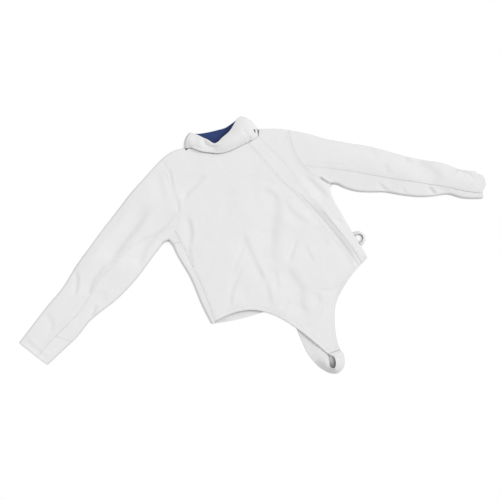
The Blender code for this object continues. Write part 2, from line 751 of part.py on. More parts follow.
def make_sleeve(side, table, top_edge, under_edge, arm, seam_at, bulge, cuff_piece, cloth):
    """A two-piece sleeve. The under sleeve wraps the lower edge and is its flat underside."""
    seam = through(np.vstack([arm[seam_at], plan(edge_of(table, "seam"))[1:]]), (len(table) - 1, SLEEVE_STEPS))
    cuff = cuff_line(top_edge, under_edge, seam[-1], bulge, (seam_at, len(arm) - 1 - seam_at))
    upper = between(top_edge.inset(FOLD), seam, arm[: seam_at + 1], cuff[: seam_at + 1])
    panel(f"sleeve_{side}_upper", [Patch(upper)] + over_fold(top_edge), cloth)

    strip = between(seam, under_edge.inset(FOLD), arm[seam_at:], cuff[seam_at:])
    below = np.hstack([upper, strip[:, 1:]])
    stretches = [(f"sleeve_{side}_under", 0, SLEEVE_STEPS - cuff_piece)]
    if cuff_piece:
        stretches.append((f"sleeve_{side}_cuff", SLEEVE_STEPS - cuff_piece, SLEEVE_STEPS))
    for name, first, last in stretches:
        rows = slice(first, last + 1)
        patches = [Patch(strip[rows]), under(below[rows])] + over_fold(under_edge.part(first, last))
        panel(name, patches, cloth)


def edge_on_top(points):
    """The outer edge of the upper layer at plan points, a seam's gap above the cloth."""
    return np.column_stack([points, 2 * FOLD + lay_height(points) + SEAM_GAP])


def collar_grid():
    """The collar's outer points, from its foot in the neck opening to its rim."""
    front = spline(NECK[: NECK_PLACKET + 1])[::-1]
    front = edge_on_top(front[front[:, 0] > FRONT_FOOT_END])
    back = spline(BACK_NECK)
    back = back[(back[:, 0] > BACK_FOOT[0]) & (back[:, 0] < BACK_FOOT[1])]
    back = np.column_stack([back, np.zeros(len(back))])
    right = np.vstack([front[-1:], np.array(FOOT_TURN_RIGHT) * MM, back[:1]])
    left = np.vstack([back[-1:], np.array(FOOT_TURN_LEFT) * MM])
    stretches = [front, spline(right), back, spline(left)]
    foot, at = [front[:1]], [np.zeros(1)]
    for number, (stretch, steps) in enumerate(zip(stretches, COLLAR_STEPS)):
        foot.append(divided(stretch, steps, axes=3)[1:])
        at.append(number + np.linspace(0, 1, steps + 1)[1:])
    foot, at = np.vstack(foot), np.concatenate(at)
    stands = np.array(COLLAR, float)
    line = spline(stands, np.diff(stands[:, 0]))
    belly, rim = (
        np.column_stack([np.interp(at, line[:, 0], line[:, c] * MM) for c in range(k, k + 3)]) for k in (1, 4)
    )
    below, above = (np.linalg.norm(step, axis=1)[:, None] for step in (belly - foot, rim - belly))
    middle = np.clip(below / (below + above), 0.25, 0.75)
    share = np.linspace(0, 1, COLLAR_ROWS + 1)[:, None, None]
    curve = foot * (share - middle) * (share - 1) / middle
    curve = curve + belly * share * (1 - share) / (middle * (1 - middle))
    return curve + rim * share * (share - middle) / (1 - middle)


def directions(grid, axis):
    """The way a grid runs at each of its points, as the mean of the steps on both sides."""
    step = np.diff(grid, axis=axis)
    step /= np.linalg.norm(step, axis=2)[..., None]
    first, last = np.take(step, [0], axis), np.take(step, [-1], axis)
    return np.concatenate([first, step], axis) + np.concatenate([step, last], axis)


def grid_normals(grid, middle):
    """Directions off a grid of points, on its side away from the middle points."""
    normal = np.cross(directions(grid, 1), directions(grid, 0))
    normal /= np.linalg.norm(normal, axis=2)[..., None]
    return normal if ((grid - middle) * normal).sum() > 0 else -normal


def make_collar(cloth, blue):
    grid = collar_grid()
    normals = grid_normals(grid, grid.mean(axis=1, keepdims=True))
    shells = [("collar", 0.0, COLLAR_CLOTH, cloth), ("collar_lining", COLLAR_CLOTH + SEAM_GAP, LINING, blue)]
    for name, depth, thickness, finish in shells:
        points, off, faces = joined([(grid - normals * depth, normals)], merged=False)
        solid(name, points, off, faces, thickness, finish, trim=SEAM_GAP)
    return grid, normals


def make_strap(elastic):
    rows = np.array(CROTCH_STRAP, float) * MM
    rows[0, [0, 1, 3, 4]] = np.concatenate([TAIL_LEFT[-1], HEM[-1]])
    ends, _ = Patch(np.stack([TAIL_LEFT[-1], HEM[-1]])[None]).surface()
    rows[0, 2], rows[0, 5] = ends[0, 0, 2], ends[0, 1, 2]
    line = divided(spline(rows), 36, axes=3)
    outer, inner, arch = line[:, None, :3], line[:, None, 3:6], np.maximum(line[:, None, 6], 0)
    share = np.linspace(0, 1, 5)[None, :, None]
    grid = outer + (inner - outer) * share
    grid[..., 2] += arch * np.sin(np.pi * share[..., 0] ** (np.log(0.5) / np.log(STRAP_RIDGE)))
    normals = grid_normals(grid, grid - [0, 0, 1])
    points, off, faces = joined([(grid + normals * STRAP, normals)])
    solid("crotch_strap", points, off, faces, STRAP, elastic)


def make_hip_loop(tape):
    rows = plan(HIP_LOOP)
    side = SIDE_EDGE_LEFT.points[::-1]
    rows[[0, -1], 0] = np.interp(rows[[0, -1], 1], side[:, 1], side[:, 0]) + 4 * SEAM_GAP
    line = divided(spline(rows), 14)
    along = np.gradient(line, axis=0)
    along /= np.linalg.norm(along, axis=1)[:, None]
    outward = np.column_stack([along[:, 1], -along[:, 0], np.zeros(len(line))])
    if outward[len(line) // 2, 0] < 0:
        outward = -outward
    flat = np.column_stack([line, np.full(len(line), HIP_LOOP_LOW)])
    rise, lean = np.cos(HIP_LOOP_LEAN), np.sin(HIP_LOOP_LEAN)
    up = np.array([0, 0, 1])
    grid = np.stack([flat + HIP_LOOP_WIDTH * s * (rise * up - lean * outward) for s in (0, 0.5, 1)])
    normals = np.repeat((rise * outward + lean * up)[None], len(grid), axis=0)
    points, off, faces = joined([(grid, normals)])
    solid("hip_loop", points, off, faces, TAPE, tape)


def make_hook(grid, normals, metal):
    """The small closure on the collar's end: a bar with rounded edges, lying on its cloth."""
    row, column = HOOK_ROW, HOOK_COLUMN
    off, length = normals[row, column], directions(grid, 0)[row, column]
    length /= np.linalg.norm(length)
    frame = np.eye(4)
    frame[:3, :3] = np.column_stack([length, np.cross(off, length), off])
    frame[:3, 3] = grid[row, column] + off * (HOOK_LIFT + HOOK_SIZE[2] / 2)
    frame[:2, 3] -= CENTRE
    bpy.ops.mesh.primitive_cube_add(size=1)
    bar = bpy.context.object
    bar.name = bar.data.name = "collar_hook"
    bar.data.transform(Matrix.Diagonal((*HOOK_SIZE, 1)))
    bar.matrix_world = Matrix(frame.tolist())
    bevel = bar.modifiers.new("Rounded", "BEVEL")
    bevel.width = HOOK_ROUNDING
    bevel.segments = 2
    bar.data.materials.append(metal)


def main():
    for old in list(bpy.data.objects):
        bpy.data.objects.remove(old)
    cloth = material("white_cloth", WHITE_CLOTH)
    blue = material("collar_blue", COLLAR_BLUE)
    elastic = material("elastic", ELASTIC)
    tape = material("white_tape", WHITE_TAPE)
    metal = material("dark_metal", DARK_METAL)
    make_fronts(cloth)
    make_placket(cloth)
    make_back(cloth)
    make_side(cloth)
    make_sleeve(
        "right",
        SLEEVE_RIGHT,
        SLEEVE_TOP_RIGHT,
        SLEEVE_UNDER_RIGHT,
        ARM_RIGHT,
        ARM_RIGHT_SEAM,
        [],
        CUFF_PIECE_STEPS,
        cloth,
    )
    make_sleeve(
        "left",
        SLEEVE_LEFT,
        SLEEVE_TOP_LEFT,
        SLEEVE_UNDER_LEFT,
        ARM_LEFT,
        ARM_LEFT_SEAM,
        [plan(CUFF_BULGE_LEFT)],
        0,
        cloth,
    )
    make_hook(*make_collar(cloth, blue), metal)
    make_strap(elastic)
    make_hip_loop(tape)
    print("built", len(bpy.data.objects), "pieces")


main()
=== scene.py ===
"""A fencing jacket laid out on a pale surface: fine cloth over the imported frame.

Metres, +Z up, +Y towards the collar, +X towards the wearer's left side. Left and right
are the wearer's. The tables are in millimetres, measured from the pit of the neck. The
pattern of the panels repeats the one of the solids, with finer steps.
"""

import math

import bmesh
import bpy
import numpy as np
from mathutils import Matrix, Vector, noise
from mathutils.kdtree import KDTree


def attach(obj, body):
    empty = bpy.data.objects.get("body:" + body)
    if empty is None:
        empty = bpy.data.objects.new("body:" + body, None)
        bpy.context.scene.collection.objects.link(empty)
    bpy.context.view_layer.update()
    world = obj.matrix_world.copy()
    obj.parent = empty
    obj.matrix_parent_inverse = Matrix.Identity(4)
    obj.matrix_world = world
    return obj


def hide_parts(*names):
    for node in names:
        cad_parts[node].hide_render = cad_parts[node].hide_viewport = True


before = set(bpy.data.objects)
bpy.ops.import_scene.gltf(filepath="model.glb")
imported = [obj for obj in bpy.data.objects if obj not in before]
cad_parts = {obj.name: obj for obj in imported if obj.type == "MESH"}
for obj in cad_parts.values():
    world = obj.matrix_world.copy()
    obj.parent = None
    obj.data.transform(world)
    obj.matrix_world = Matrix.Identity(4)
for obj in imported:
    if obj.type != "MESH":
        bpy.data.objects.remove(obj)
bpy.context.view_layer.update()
scene = bpy.context.scene

MM = 0.001

# Sizes of the cloth, as in the solids
CLOTH = 1.8 * MM
COLLAR_CLOTH = 1.3 * MM
LINING = 1.0 * MM
STRAP = 1.8 * MM
TAPE = 1.2 * MM
SEAM_GAP = 0.3 * MM
FOLD = 6.5 * MM
LOFT = 4.0 * MM
LOFT_REACH = 45 * MM
TAIL_DROP = 9.5 * MM
TAIL_FROM = -470 * MM
TAIL_OVER = 120 * MM
HEM_DROP = 5.0 * MM
HEM_DROP_X = (-232 * MM, -40 * MM)
HEM_DROP_FROM = -415 * MM
HEM_DROP_OVER = 55 * MM
HEM_DROP_RAMPS = (45 * MM, 60 * MM)
HEM_RISE = 2.5 * MM
PLACKET_RAISED = 0.5 * MM
PLACKET_SUNK = -1.0 * MM
CENTRE = np.array([-15.9, -334.8]) * MM

# How the cut edges are rolled over, and how seams pucker
EDGE_ROLL = 0.8 * MM
EDGE_WIDTH = 1.2 * MM
SEAM_NEAR = 3 * MM
FREE_EDGE = 1.7
PUCKER = 0.22 * MM
PUCKER_PITCH = 15 * MM
PUCKER_REACH = 11 * MM

# The rolled edge's shoulder, as shares of its width and of its roll, and the angle in degrees from
# which an edge shows sharp
EDGE_SHOULDER = (0.3, 0.28)
CLOTH_SHARP, METAL_SHARP = 60, 40

# Loose cloth's unevenness: waves to the metre, height in millimetres and where in the noise
SLACK_WIDE = (22, 0.8, 3.1)
SLACK_SMALL = (55, 0.25, 7.7)
SLACK_OFF_FOLD = 20 * MM

# Steps along each line. FINER is how many fine steps replace one of the solids' steps.
FINER = 5
SHOULDER_STEPS = 5 * FINER
NECK_STEPS = 19 * FINER
BODY_STEPS = 26 * FINER
SLEEVE_STEPS = 22 * FINER
TAIL_STEPS = 11 * FINER
SIDE_STEPS = 16 * FINER
GUSSET_STEPS = 2 * FINER
CUFF_PIECE_STEPS = 3 * FINER
PLACKET_STEPS = 3 * FINER
HEM_STEPS = 8 * FINER
LEFT_SIDE_STEPS = 14 * FINER
ARMPIT_GRADING = 1.35
RIM_ANGLES = np.radians(np.linspace(90, 0, 9))

# Sleeves from the armhole to the cuff: x and y of the upper edge, of the seam on top, of the lower edge
SLEEVE_RIGHT = [
    (-178, 29, -222, -165, -256, -192), (-238, 2, -266, -163, -290, -201),
    (-296, -25, -312, -163, -330, -223), (-349, -55, -357, -168, -372, -247),
    (-405, -86, -413, -192, -415, -267), (-461, -119, -460, -209, -462, -284),
    (-516, -152, -506, -237, -505, -294), (-576, -194, -548, -266, -544, -305),
    (-628, -220, -600, -290, -592, -330), (-680, -249, -643, -306, -640, -347),
    (-735, -280, -707, -335, -693, -365),
]
SLEEVE_LEFT = [
    (206, -37, 197, -155, 252, -234), (250, -66, 238, -177, 285, -262), (300, -106, 285, -204, 318, -288),
    (356, -143, 332, -233, 352, -305), (410, -177, 382, -266, 392, -322), (460, -215, 434, -300, 435, -350),
    (510, -255, 484, -330, 484, -378), (560, -289, 534, -361, 530, -396), (606, -318, 582, -392, 574, -409),
    (645, -355, 628, -425, 611, -438), (692, -383, 676, -453, 672, -467),
]
CUFF_BULGE_LEFT = [(702, -402), (698, -432)]

# Lines of the pattern: x and y
SHOULDER_RIGHT = [(-101, 32), (-112, 35.5), (-130, 38.5), (-153, 37)]
SHOULDER_LEFT = [(122, 1), (150, -9), (178, -21)]
ARMHOLE_RIGHT = [
    (-174, -1), (-178, -31), (-185, -66), (-190, -105), (-202, -136), (-222, -165), (-230, -176),
]
ARMHOLE_LEFT = [(198, -56), (192, -83), (191, -119), (197, -155), (210, -183), (228, -207)]
SIDE_RIGHT = [
    (-268, -190), (-256, -192), (-252, -204), (-252, -235), (-245, -308), (-248, -405), (-246, -457),
]
SIDE_LEFT = [
    (265, -240), (252, -234), (243, -242), (238, -262), (240, -318), (245, -383), (250, -434), (255, -478),
]
SIDE_SEAM = [
    (-230, -176), (-228, -213), (-227, -270), (-226, -320), (-229, -390), (-232, -424), (-235, -453),
]
NECK_FRONT = [
    (-90, 27), (-77, 17), (-62, 2), (-40, -12), (-24, -20), (-2, -26), (20, -28), (41, -27), (77, -25),
    (92, -24), (109, -20),
]
NECK_BACK = [(-60, 18), (0, 9), (60, -1)]
ZIP_RIGHT_EDGE = [
    (77, -25), (93, -80), (109, -136), (122, -177), (135, -207), (145, -242), (164, -303), (181, -363),
    (198, -429), (208, -492),
]
ZIP_LEFT_EDGE = [
    (109, -20), (117, -52), (139, -108), (153, -168), (156, -196), (168, -242), (185, -288), (200, -340),
    (220, -420), (230, -484),
]
HEM_FRONT = [
    (-235, -453), (-200, -453), (-159, -458), (-118, -473), (-102, -484), (-73, -510), (-47, -544),
    (-26, -579), (-1, -629), (21, -677),
]
TAIL_LEFT_EDGE = [
    (208, -492), (163, -515), (132, -536), (108, -557), (85, -594), (68, -635), (61, -661), (59, -682),
]
HEM_BACK = [(-235, -459), (-208, -467), (-157, -479), (-100, -488), (0, -498), (120, -500), (206, -492)]

# Hollows and swells of the lay: x and y, reach along and across, turn in degrees, height
SWELLS = [
    (-20, -150, 170, 110, 0, 2.5), (-120, -455, 70, 35, -8, 2.5), (-270, -75, 90, 55, -35, 3.0),
    (-450, -190, 130, 40, -28, 2.5), (290, -165, 95, 50, -38, 4.0), (420, -250, 120, 42, -37, 5.0),
    (560, -335, 90, 35, -33, 4.5), (650, -405, 55, 35, -33, 3.0), (105, -575, 75, 22, 62, -3.0),
    (40, -672, 40, 40, 0, -1.5),
]

# Folds in the cloth: x and y of both ends, how far the line bows to its left, depth (above
# nought for a ridge), half width, and the side of its steep wall
CREASES = [
    (-82, -69, -174, -103, -5, -3.6, 6, 1), (-175, -98, -196, -130, -6, -1.3, 4, 1),
    (-182, -148, -215, -233, 9, -2.8, 6, 1), (-214, -230, -225, -287, -2, -1.8, 5, 1),
    (1, -122, 60, -123, -1, -1.8, 4.5, 1), (64, -143, 91, -160, 1, -0.7, 3.5, 1),
    (-65, -152, -24, -146, 3, -0.9, 7, -1), (-78, -183, -36, -175, -2, -0.5, 8, -1),
    (49, -170, 81, -217, 4, -2.2, 8, 1), (85, -210, 3, -324, -7, -4.4, 17, 1),
    (13, -305, -17, -373, -3, -2.2, 16, 1), (95, -221, 137, -320, -13, -2.1, 9, 1),
    (142, -323, 147, -405, 7, -2.6, 15, 1), (-57, -261, -61, -362, -2, -1.8, 7.5, 1),
    (-63, -350, -61, -408, 1, -2.2, 6.5, 1), (-58, -415, -74, -480, 2, -1.7, 6, 1),
    (-59, -288, -129, -349, -1, -1.1, 4, 1), (-99, -353, -180, -434, -9, -1.7, 5, 1),
    (82, -342, 29, -392, 0, -1.8, 4, 1), (96, -362, 96, -422, -1, -1.2, 5, 1),
    (14, -403, 28, -494, -1, -3.2, 13, 1), (28, -483, 9, -545, -11, -2.8, 12, 1),
    (-49, -503, -14, -495, 0, -1.8, 4.5, -1), (77, -499, 157, -510, -13, -1.4, 4, 1),
    (70, -502, 61, -537, -4, -1.6, 8, 1), (73, -553, -2, -569, 14, 1.6, 6, 0),
    (182, -179, 218, -273, 3, -3, 8, 1), (225, -200, 259, -249, -1, -6, 2, 1),
    (155, -249, 206, -479, 6, -3.9, 10.5, 1), (185, -286, 224, -466, 0, -1, 3, 1),
    (174, -276, 217, -469, 2, -1.1, 3, 1), (205, -485, 250, -472, -1, -2.6, 5, -1),
    (131, -192, 162, -299, 1, -0.8, 3.5, 1), (206, -329, 228, -353, 1, -1, 5, 1),
    (-17, -395, -31, -443, 1, -1.3, 4.5, 1), (-117, -403, -137, -445, 2, -0.8, 8, 1),
    (-269, -85, -443, -184, -1, -6, 11, 1), (-431, -176, -521, -239, -9, -3, 7, 1),
    (-206, -136, -315, -181, -7, -3.4, 7, 1), (-303, -159, -366, -223, -1, -3, 9, 1),
    (-522, -163, -555, -227, 6, -2.4, 4.5, 1), (-641, -238, -647, -290, 6, -1.8, 6, 1),
    (-482, -240, -494, -277, 3, -1.4, 10, 1), (-508, -273, -539, -301, 0, -2.4, 3.5, 1),
    (-168, -6, -185, -64, 1, -1.2, 3, 1), (-190, -8, -192, -59, 4, -1, 3, 1),
    (-206, -1, -226, -82, 2, -1.5, 9, 1), (-210, -134, -247, -156, -2, -0.9, 2.6, 1),
    (-306, -65, -498, -163, 1, 1.8, 12, 0), (-521, -239, -681, -312, 3, 1.4, 4.5, 0),
    (-716, -274, -681, -355, -1, -1.8, 3.2, 1), (521, -271, 570, -360, -2, -5, 17, 1),
    (490, -253, 512, -290, -1, -2, 8, 1), (409, -189, 412, -226, 0, -1.2, 8, 1),
    (424, -243, 427, -280, 0, -1.4, 6, 1), (634, -361, 669, -407, 11, -2.2, 5, 1),
    (607, -368, 650, -406, 35, 1.4, 5, 0), (384, -292, 401, -326, 0, -2.4, 4.5, 1),
    (446, -332, 448, -356, 1, -1.4, 4, 1), (524, -364, 534, -395, 1, -3.4, 4, 1),
    (225, -158, 323, -206, -1, -0.6, 4, 1), (160, -64, 191, -56, 0, -1.2, 4, -1),
    (548, -376, 581, -412, 1, -1.2, 5, 1),
]
CREASE_RUNOUT = 2.3
CREASE_LIP = 0.35
CREASE_FADE = 0.3

# How the collar stands: how far round, x, y and z of its belly, x, y and z of its rim
COLLAR = [
    (0.00, 114, -3, 21.5, 99, 49, 16.5), (0.10, 93, -12, 29, 77, 53, 23), (0.17, 77, -15, 31, 60, 42, 26),
    (0.25, 58, -16, 32, 42, 29, 28), (0.43, 18, -17, 33, 8, 16, 30), (0.59, -16, -12, 31, -20, 8, 28),
    (0.73, -44, 6, 28, -34, 27, 25), (0.88, -74, 27, 24.5, -51, 50, 21.5),
    (1.00, -89.5, 37.5, 21, -63, 63, 18.5), (1.25, -95.5, 42.5, 17.5, -67.5, 67.5, 16),
    (1.50, -98, 45.2, 11, -69.5, 69.5, 11), (1.75, -95.5, 43.5, 5, -67.5, 68, 5.5),
    (2.00, -89, 40.8, 2, -62, 64, 3), (2.20, -72, 36, 1.4, -40, 56, 3.5), (2.50, 5, 24, 1.2, 6, 47, 4.5),
    (2.65, 43, 21.5, 1.2, 34, 44, 4.5), (2.80, 80, 18, 1.2, 61, 49, 4.0),
    (3.00, 106.5, 15, 1.8, 84.5, 56, 4.0), (3.30, 111, 14, 3.8, 91, 56.5, 5.2),
    (3.65, 115.5, 11, 8.5, 95.5, 54.5, 8.2), (4.00, 117, 8, 14.5, 97.5, 51, 12.5),
]
COLLAR_STEPS = tuple(4 * steps for steps in (19, 8, 16, 5))
COLLAR_ROWS = 28
COLLAR_BEAD = 2.4 * MM
COLLAR_BEAD_AT = 0.13
COLLAR_BEAD_WIDTH = 0.085
FRONT_FOOT_END = -92 * MM
BACK_FOOT = (-90 * MM, 108 * MM)
FOOT_TURN_RIGHT = [(-98.2, 29.5, 12.2), (-100.4, 31, 7), (-98.2, 28, 1.8)]
FOOT_TURN_LEFT = [(117, -2.5, 1.6), (120.2, -1.5, 6), (119.6, -4, 11)]
COLLAR_CREASES = [
    (-47, 32, -14, -6, -9, -6, 5.5, 1), (72, 12, 77, -9, 1, -1.8, 3.5, 1),
    (79, -9, 86, -42, 1, -1.4, 3.5, 1), (40, -12, 104, 3, 2, -1.2, 4, -1),
    (-60, 50, -78, 30, 2, -1.2, 7, 0), (-36, 14, -6, -14, -3, -1.4, 9, 0), (74, 24, 78, -2, 2, -0.8, 9, 0),
]

# The crotch strap: x, y and z of its outer edge, x, y and z of its inner edge, and its arch
CROTCH_STRAP = [
    (59, -683, 4.6, 22, -678, 6.4, 0), (63, -697, 1.2, 30, -690, 15, 0), (58, -716, 0, 29, -700, 20, 0),
    (45, -732, 0, 24, -711, 22, 0), (26, -738, 0, 16, -718, 22, 0), (8, -731, 0, 9, -713, 18, 1),
    (-9, -713, 0, 11, -702, 12, 6), (-22, -689, 0, 18, -689, 4, 11), (-28, -668, 0, 22, -680, 0.8, 5),
    (-32, -645, 0, 12, -650, 0.3, 0.5), (-32, -615, 0, 4, -618, 0, 0), (-30, -580, 0, 6, -580, 0, 0),
    (-27, -540, 0, 9, -540, 0, 0), (-25, -500, 0, 11, -500, 0, 0),
]
STRAP_RIDGE = 0.6
STRAP_STEPS = (180, 20)

HIP_LOOP = [
    (249.0, -391), (259, -392), (270, -397), (278, -409), (278, -421), (271, -431), (261, -437),
    (252.0, -438),
]
HIP_LOOP_LOW = 1.0 * MM
HIP_LOOP_WIDTH = 12 * MM
HIP_LOOP_LEAN = np.radians(48)
HIP_LOOP_STEPS = (70, 8)

# The sewing and the zip that shows below, as bars set along rows or across them
STITCH_WIRE = 0.38 * MM
THREAD_SINK = 0.1 * MM
STITCHES = {
    "Pitch": 3.6 * MM,
    "Length": 2.7 * MM,
    "Wire": STITCH_WIRE,
    "Sink": 2 * STITCH_WIRE,
    "Crosswise": 0.0,
}
COIL_FROM_ROW = 0.44
COIL_STEPS = 150
COIL_PITCH = 2.6 * MM
COIL_WIDTH = 5.5 * MM
COIL_WIRE = 0.55 * MM
COIL = {
    "Pitch": COIL_PITCH,
    "Length": COIL_WIDTH * 0.6,
    "Wire": COIL_WIRE,
    "Sink": COIL_WIRE,
    "Crosswise": 1.0,
}
STITCH_NEAR, STITCH_FAR = 2.2 * MM, 6.5 * MM
ROW_STEP, ROW_END = 2 * MM, 2 * MM

FINE = 24
UP = np.array([0.0, 0.0, 1.0])


def plan(rows):
    """Table rows in millimetres, as points in metres."""
    return np.array(rows, float) * MM


def edge_of(sleeve, name):
    """One edge of a sleeve's table: upper, seam or lower."""
    first = 2 * ("upper", "seam", "lower").index(name)
    return [row[first : first + 2] for row in sleeve]


def spline(points, spacing=None):
    """A smooth line through points, in FINE short steps from each point to the next."""
    steps = np.diff(points, axis=0)
    length = np.linalg.norm(steps, axis=1) if spacing is None else spacing
    length = length[:, None]
    slope = steps / length
    inner = (slope[:-1] * length[1:] + slope[1:] * length[:-1]) / (length[:-1] + length[1:])
    tangent = np.vstack([slope[:1], inner, slope[-1:]])
    t = np.linspace(0, 1, FINE, endpoint=False)[:, None]
    line = []
    for i, size in enumerate(length[:, 0]):
        start, end = points[i], points[i + 1]
        leaving, arriving = tangent[i] * size, tangent[i + 1] * size
        line.append(
            start * (1 - t) ** 2 * (1 + 2 * t)
            + end * t**2 * (3 - 2 * t)
            + leaving * t * (1 - t) ** 2
            - arriving * t**2 * (1 - t)
        )
    return np.vstack(line + [points[-1:]])


def way_along(line, axes=2):
    """The distance run at each point of a line."""
    return np.concatenate([[0], np.cumsum(np.linalg.norm(np.diff(line[:, :axes], axis=0), axis=1))])


def left_of(line):
    """Directions to the left of a plan line, one at each point."""
    along = np.gradient(line, axis=0)
    along /= np.linalg.norm(along, axis=1)[:, None]
    return np.column_stack([-along[:, 1], along[:, 0]])


def divided(line, steps, grading=1.0, axes=2):
    """A line cut into steps along its length, shorter at its start if grading is over 1."""
    way = way_along(line, axes)
    at = way[-1] * np.linspace(0, 1, steps + 1) ** grading
    return np.column_stack([np.interp(at, way, column) for column in line.T])


def stretches(line, stops):
    """A spline in stretches. Each stop is the row where one ends, its steps and their grading."""
    parts, start = [line[:1]], 0
    for row, steps, grading in stops:
        piece = line[start * FINE : row * FINE + 1]
        if grading < 1:
            piece = divided(piece[::-1], steps, 1 / grading)[::-1]
        else:
            piece = divided(piece, steps, grading)
        parts.append(piece[1:])
        start = row
    return np.vstack(parts)


def through(points, *stops):
    """A smooth line through points. Each stop is the row where a stretch ends and its steps."""
    return stretches(spline(np.asarray(points, float)), [(*stop, 1.0) for stop in stops])


def smoothstep(x):
    x = np.clip(x, 0, 1)
    return x * x * (3 - 2 * x)


class FoldedEdge:
    """A stretch of the garment's folded outline, with the direction into the cloth."""

    def __init__(self, points, inward):
        self.points, self.inward = points, inward
        self.inner = self.inset(FOLD)

    def inset(self, distance):
        return self.points + self.inward * distance

    def part(self, first, last):
        return FoldedEdge(self.points[first : last + 1], self.inward[first : last + 1])

    def turned(self):
        return FoldedEdge(self.points[::-1], self.inward[::-1])


def folded_edge(rows, cloth_on_left, *stops):
    """A folded edge through table rows. Each stop is (row, steps, grading)."""
    line = spline(plan(rows))
    left = left_of(line)
    line = stretches(np.hstack([line, left if cloth_on_left else -left]), stops)
    inward = line[:, 2:] / np.linalg.norm(line[:, 2:], axis=1)[:, None]
    return FoldedEdge(line[:, :2], inward)


def outline(shoulder, sleeve, side, cloth_on_left, side_steps):
    """One half of the folded outline: its two runs, then the shoulder, the sleeve's top and under
    edges from the armhole on, and the side, as stretches of those runs."""
    top = folded_edge(
        shoulder + edge_of(sleeve, "upper"),
        cloth_on_left,
        (len(shoulder), SHOULDER_STEPS, 1.0),
        (len(shoulder) + len(sleeve) - 1, SLEEVE_STEPS, 1.0),
    )
    under = folded_edge(
        edge_of(sleeve, "lower")[:0:-1] + side,
        cloth_on_left,
        (len(sleeve), SLEEVE_STEPS, 1 / ARMPIT_GRADING),
        (len(sleeve) + len(side) - 2, side_steps, ARMPIT_GRADING),
    )
    over_sleeve = top.part(SHOULDER_STEPS, SHOULDER_STEPS + SLEEVE_STEPS)
    down_side = under.part(SLEEVE_STEPS, SLEEVE_STEPS + side_steps)
    under_sleeve = under.part(0, SLEEVE_STEPS).turned()
    return (top, under), top.part(0, SHOULDER_STEPS), over_sleeve, under_sleeve, down_side


RUNS_RIGHT, SHOULDER_EDGE_RIGHT, SLEEVE_TOP_RIGHT, SLEEVE_UNDER_RIGHT, SIDE_EDGE_RIGHT = outline(
    SHOULDER_RIGHT, SLEEVE_RIGHT, SIDE_RIGHT, True, SIDE_STEPS
)
RUNS_LEFT, SHOULDER_EDGE_LEFT, SLEEVE_TOP_LEFT, SLEEVE_UNDER_LEFT, SIDE_EDGE_LEFT = outline(
    SHOULDER_LEFT, SLEEVE_LEFT, SIDE_LEFT, False, LEFT_SIDE_STEPS
)


def from_fold_to_fold(first, table, last, *stops):
    """A seam from the inner side of one fold to that of another, through a table's points."""
    return through(np.vstack([first.inner[:1], plan(table), last.inner[:1]]), *stops)


ARM_RIGHT_SEAM, ARM_RIGHT_SIDE, ARM_LEFT_SEAM = 9 * FINER, 10 * FINER, 7 * FINER
ARM_RIGHT = from_fold_to_fold(
    SLEEVE_TOP_RIGHT, ARMHOLE_RIGHT, SIDE_EDGE_RIGHT, (6, ARM_RIGHT_SEAM), (7, FINER), (8, 2 * FINER)
)
ARM_LEFT = from_fold_to_fold(
    SLEEVE_TOP_LEFT, ARMHOLE_LEFT, SIDE_EDGE_LEFT, (4, ARM_LEFT_SEAM), (7, 5 * FINER)
)
SIDE_LINE = np.vstack([ARM_RIGHT[ARM_RIGHT_SIDE], plan(SIDE_SEAM)[1:]])
SIDE_LINE = through(SIDE_LINE, (len(SIDE_SEAM) - 1, SIDE_STEPS))
BODY_RIGHT = np.vstack([ARM_RIGHT[: ARM_RIGHT_SIDE + 1], SIDE_LINE[1:]])
BODY_LEFT = np.vstack([ARM_LEFT, SIDE_EDGE_LEFT.inner[1:]])
NECK_STOPS = (9, NECK_STEPS), (11, PLACKET_STEPS), (12, 2 * FINER)
NECK = from_fold_to_fold(SHOULDER_EDGE_RIGHT, NECK_FRONT, SHOULDER_EDGE_LEFT, *NECK_STOPS)
NECK_PLACKET = NECK_STEPS + PLACKET_STEPS
BACK_NECK = from_fold_to_fold(SHOULDER_EDGE_RIGHT, NECK_BACK, SHOULDER_EDGE_LEFT, (4, 14 * FINER))
ZIP_RIGHT, ZIP_LEFT, TAIL_LEFT = (
    through(plan(edge), (len(edge) - 1, steps))
    for edge, steps in (
        (ZIP_RIGHT_EDGE, BODY_STEPS),
        (ZIP_LEFT_EDGE, BODY_STEPS),
        (TAIL_LEFT_EDGE, TAIL_STEPS),
    )
)
HEM = through(plan(HEM_FRONT), (4, HEM_STEPS), (len(HEM_FRONT) - 1, TAIL_STEPS))
BODY_COLUMNS = SHOULDER_STEPS + NECK_STEPS


def sleeve_seam(table, arm, seam_at):
    """The seam along a sleeve's top, from the armhole to the cuff."""
    points = np.vstack([arm[seam_at], plan(edge_of(table, "seam"))[1:]])
    return through(points, (len(table) - 1, SLEEVE_STEPS))


SEAM_RIGHT = sleeve_seam(SLEEVE_RIGHT, ARM_RIGHT, ARM_RIGHT_SEAM)
SEAM_LEFT = sleeve_seam(SLEEVE_LEFT, ARM_LEFT, ARM_LEFT_SEAM)


class NearLines:
    """Distance from lines in plan, the place along them and the share of the line run there."""

    def __init__(self, lines, pitch=0.5 * MM):
        dense, ways, which = [], [], []
        for number, line in enumerate(lines):
            steps = max(2, int(way_along(line)[-1] / pitch))
            dense.append(divided(line, steps))
            ways.append(number + way_along(dense[-1]))
            which.append(np.column_stack([np.full(steps + 1, number), np.linspace(0, 1, steps + 1)]))
        self.ways, self.which = np.concatenate(ways), np.vstack(which)
        points = np.vstack(dense)
        self.tree = KDTree(len(points))
        for i, (x, y) in enumerate(points):
            self.tree.insert((x, y, 0), i)
        self.tree.balance()

    def find(self, points):
        found = [self.tree.find((x, y, 0)) for x, y in points]
        index = [hit[1] for hit in found]
        return np.array([hit[2] for hit in found]), self.ways[index], self.which[index]


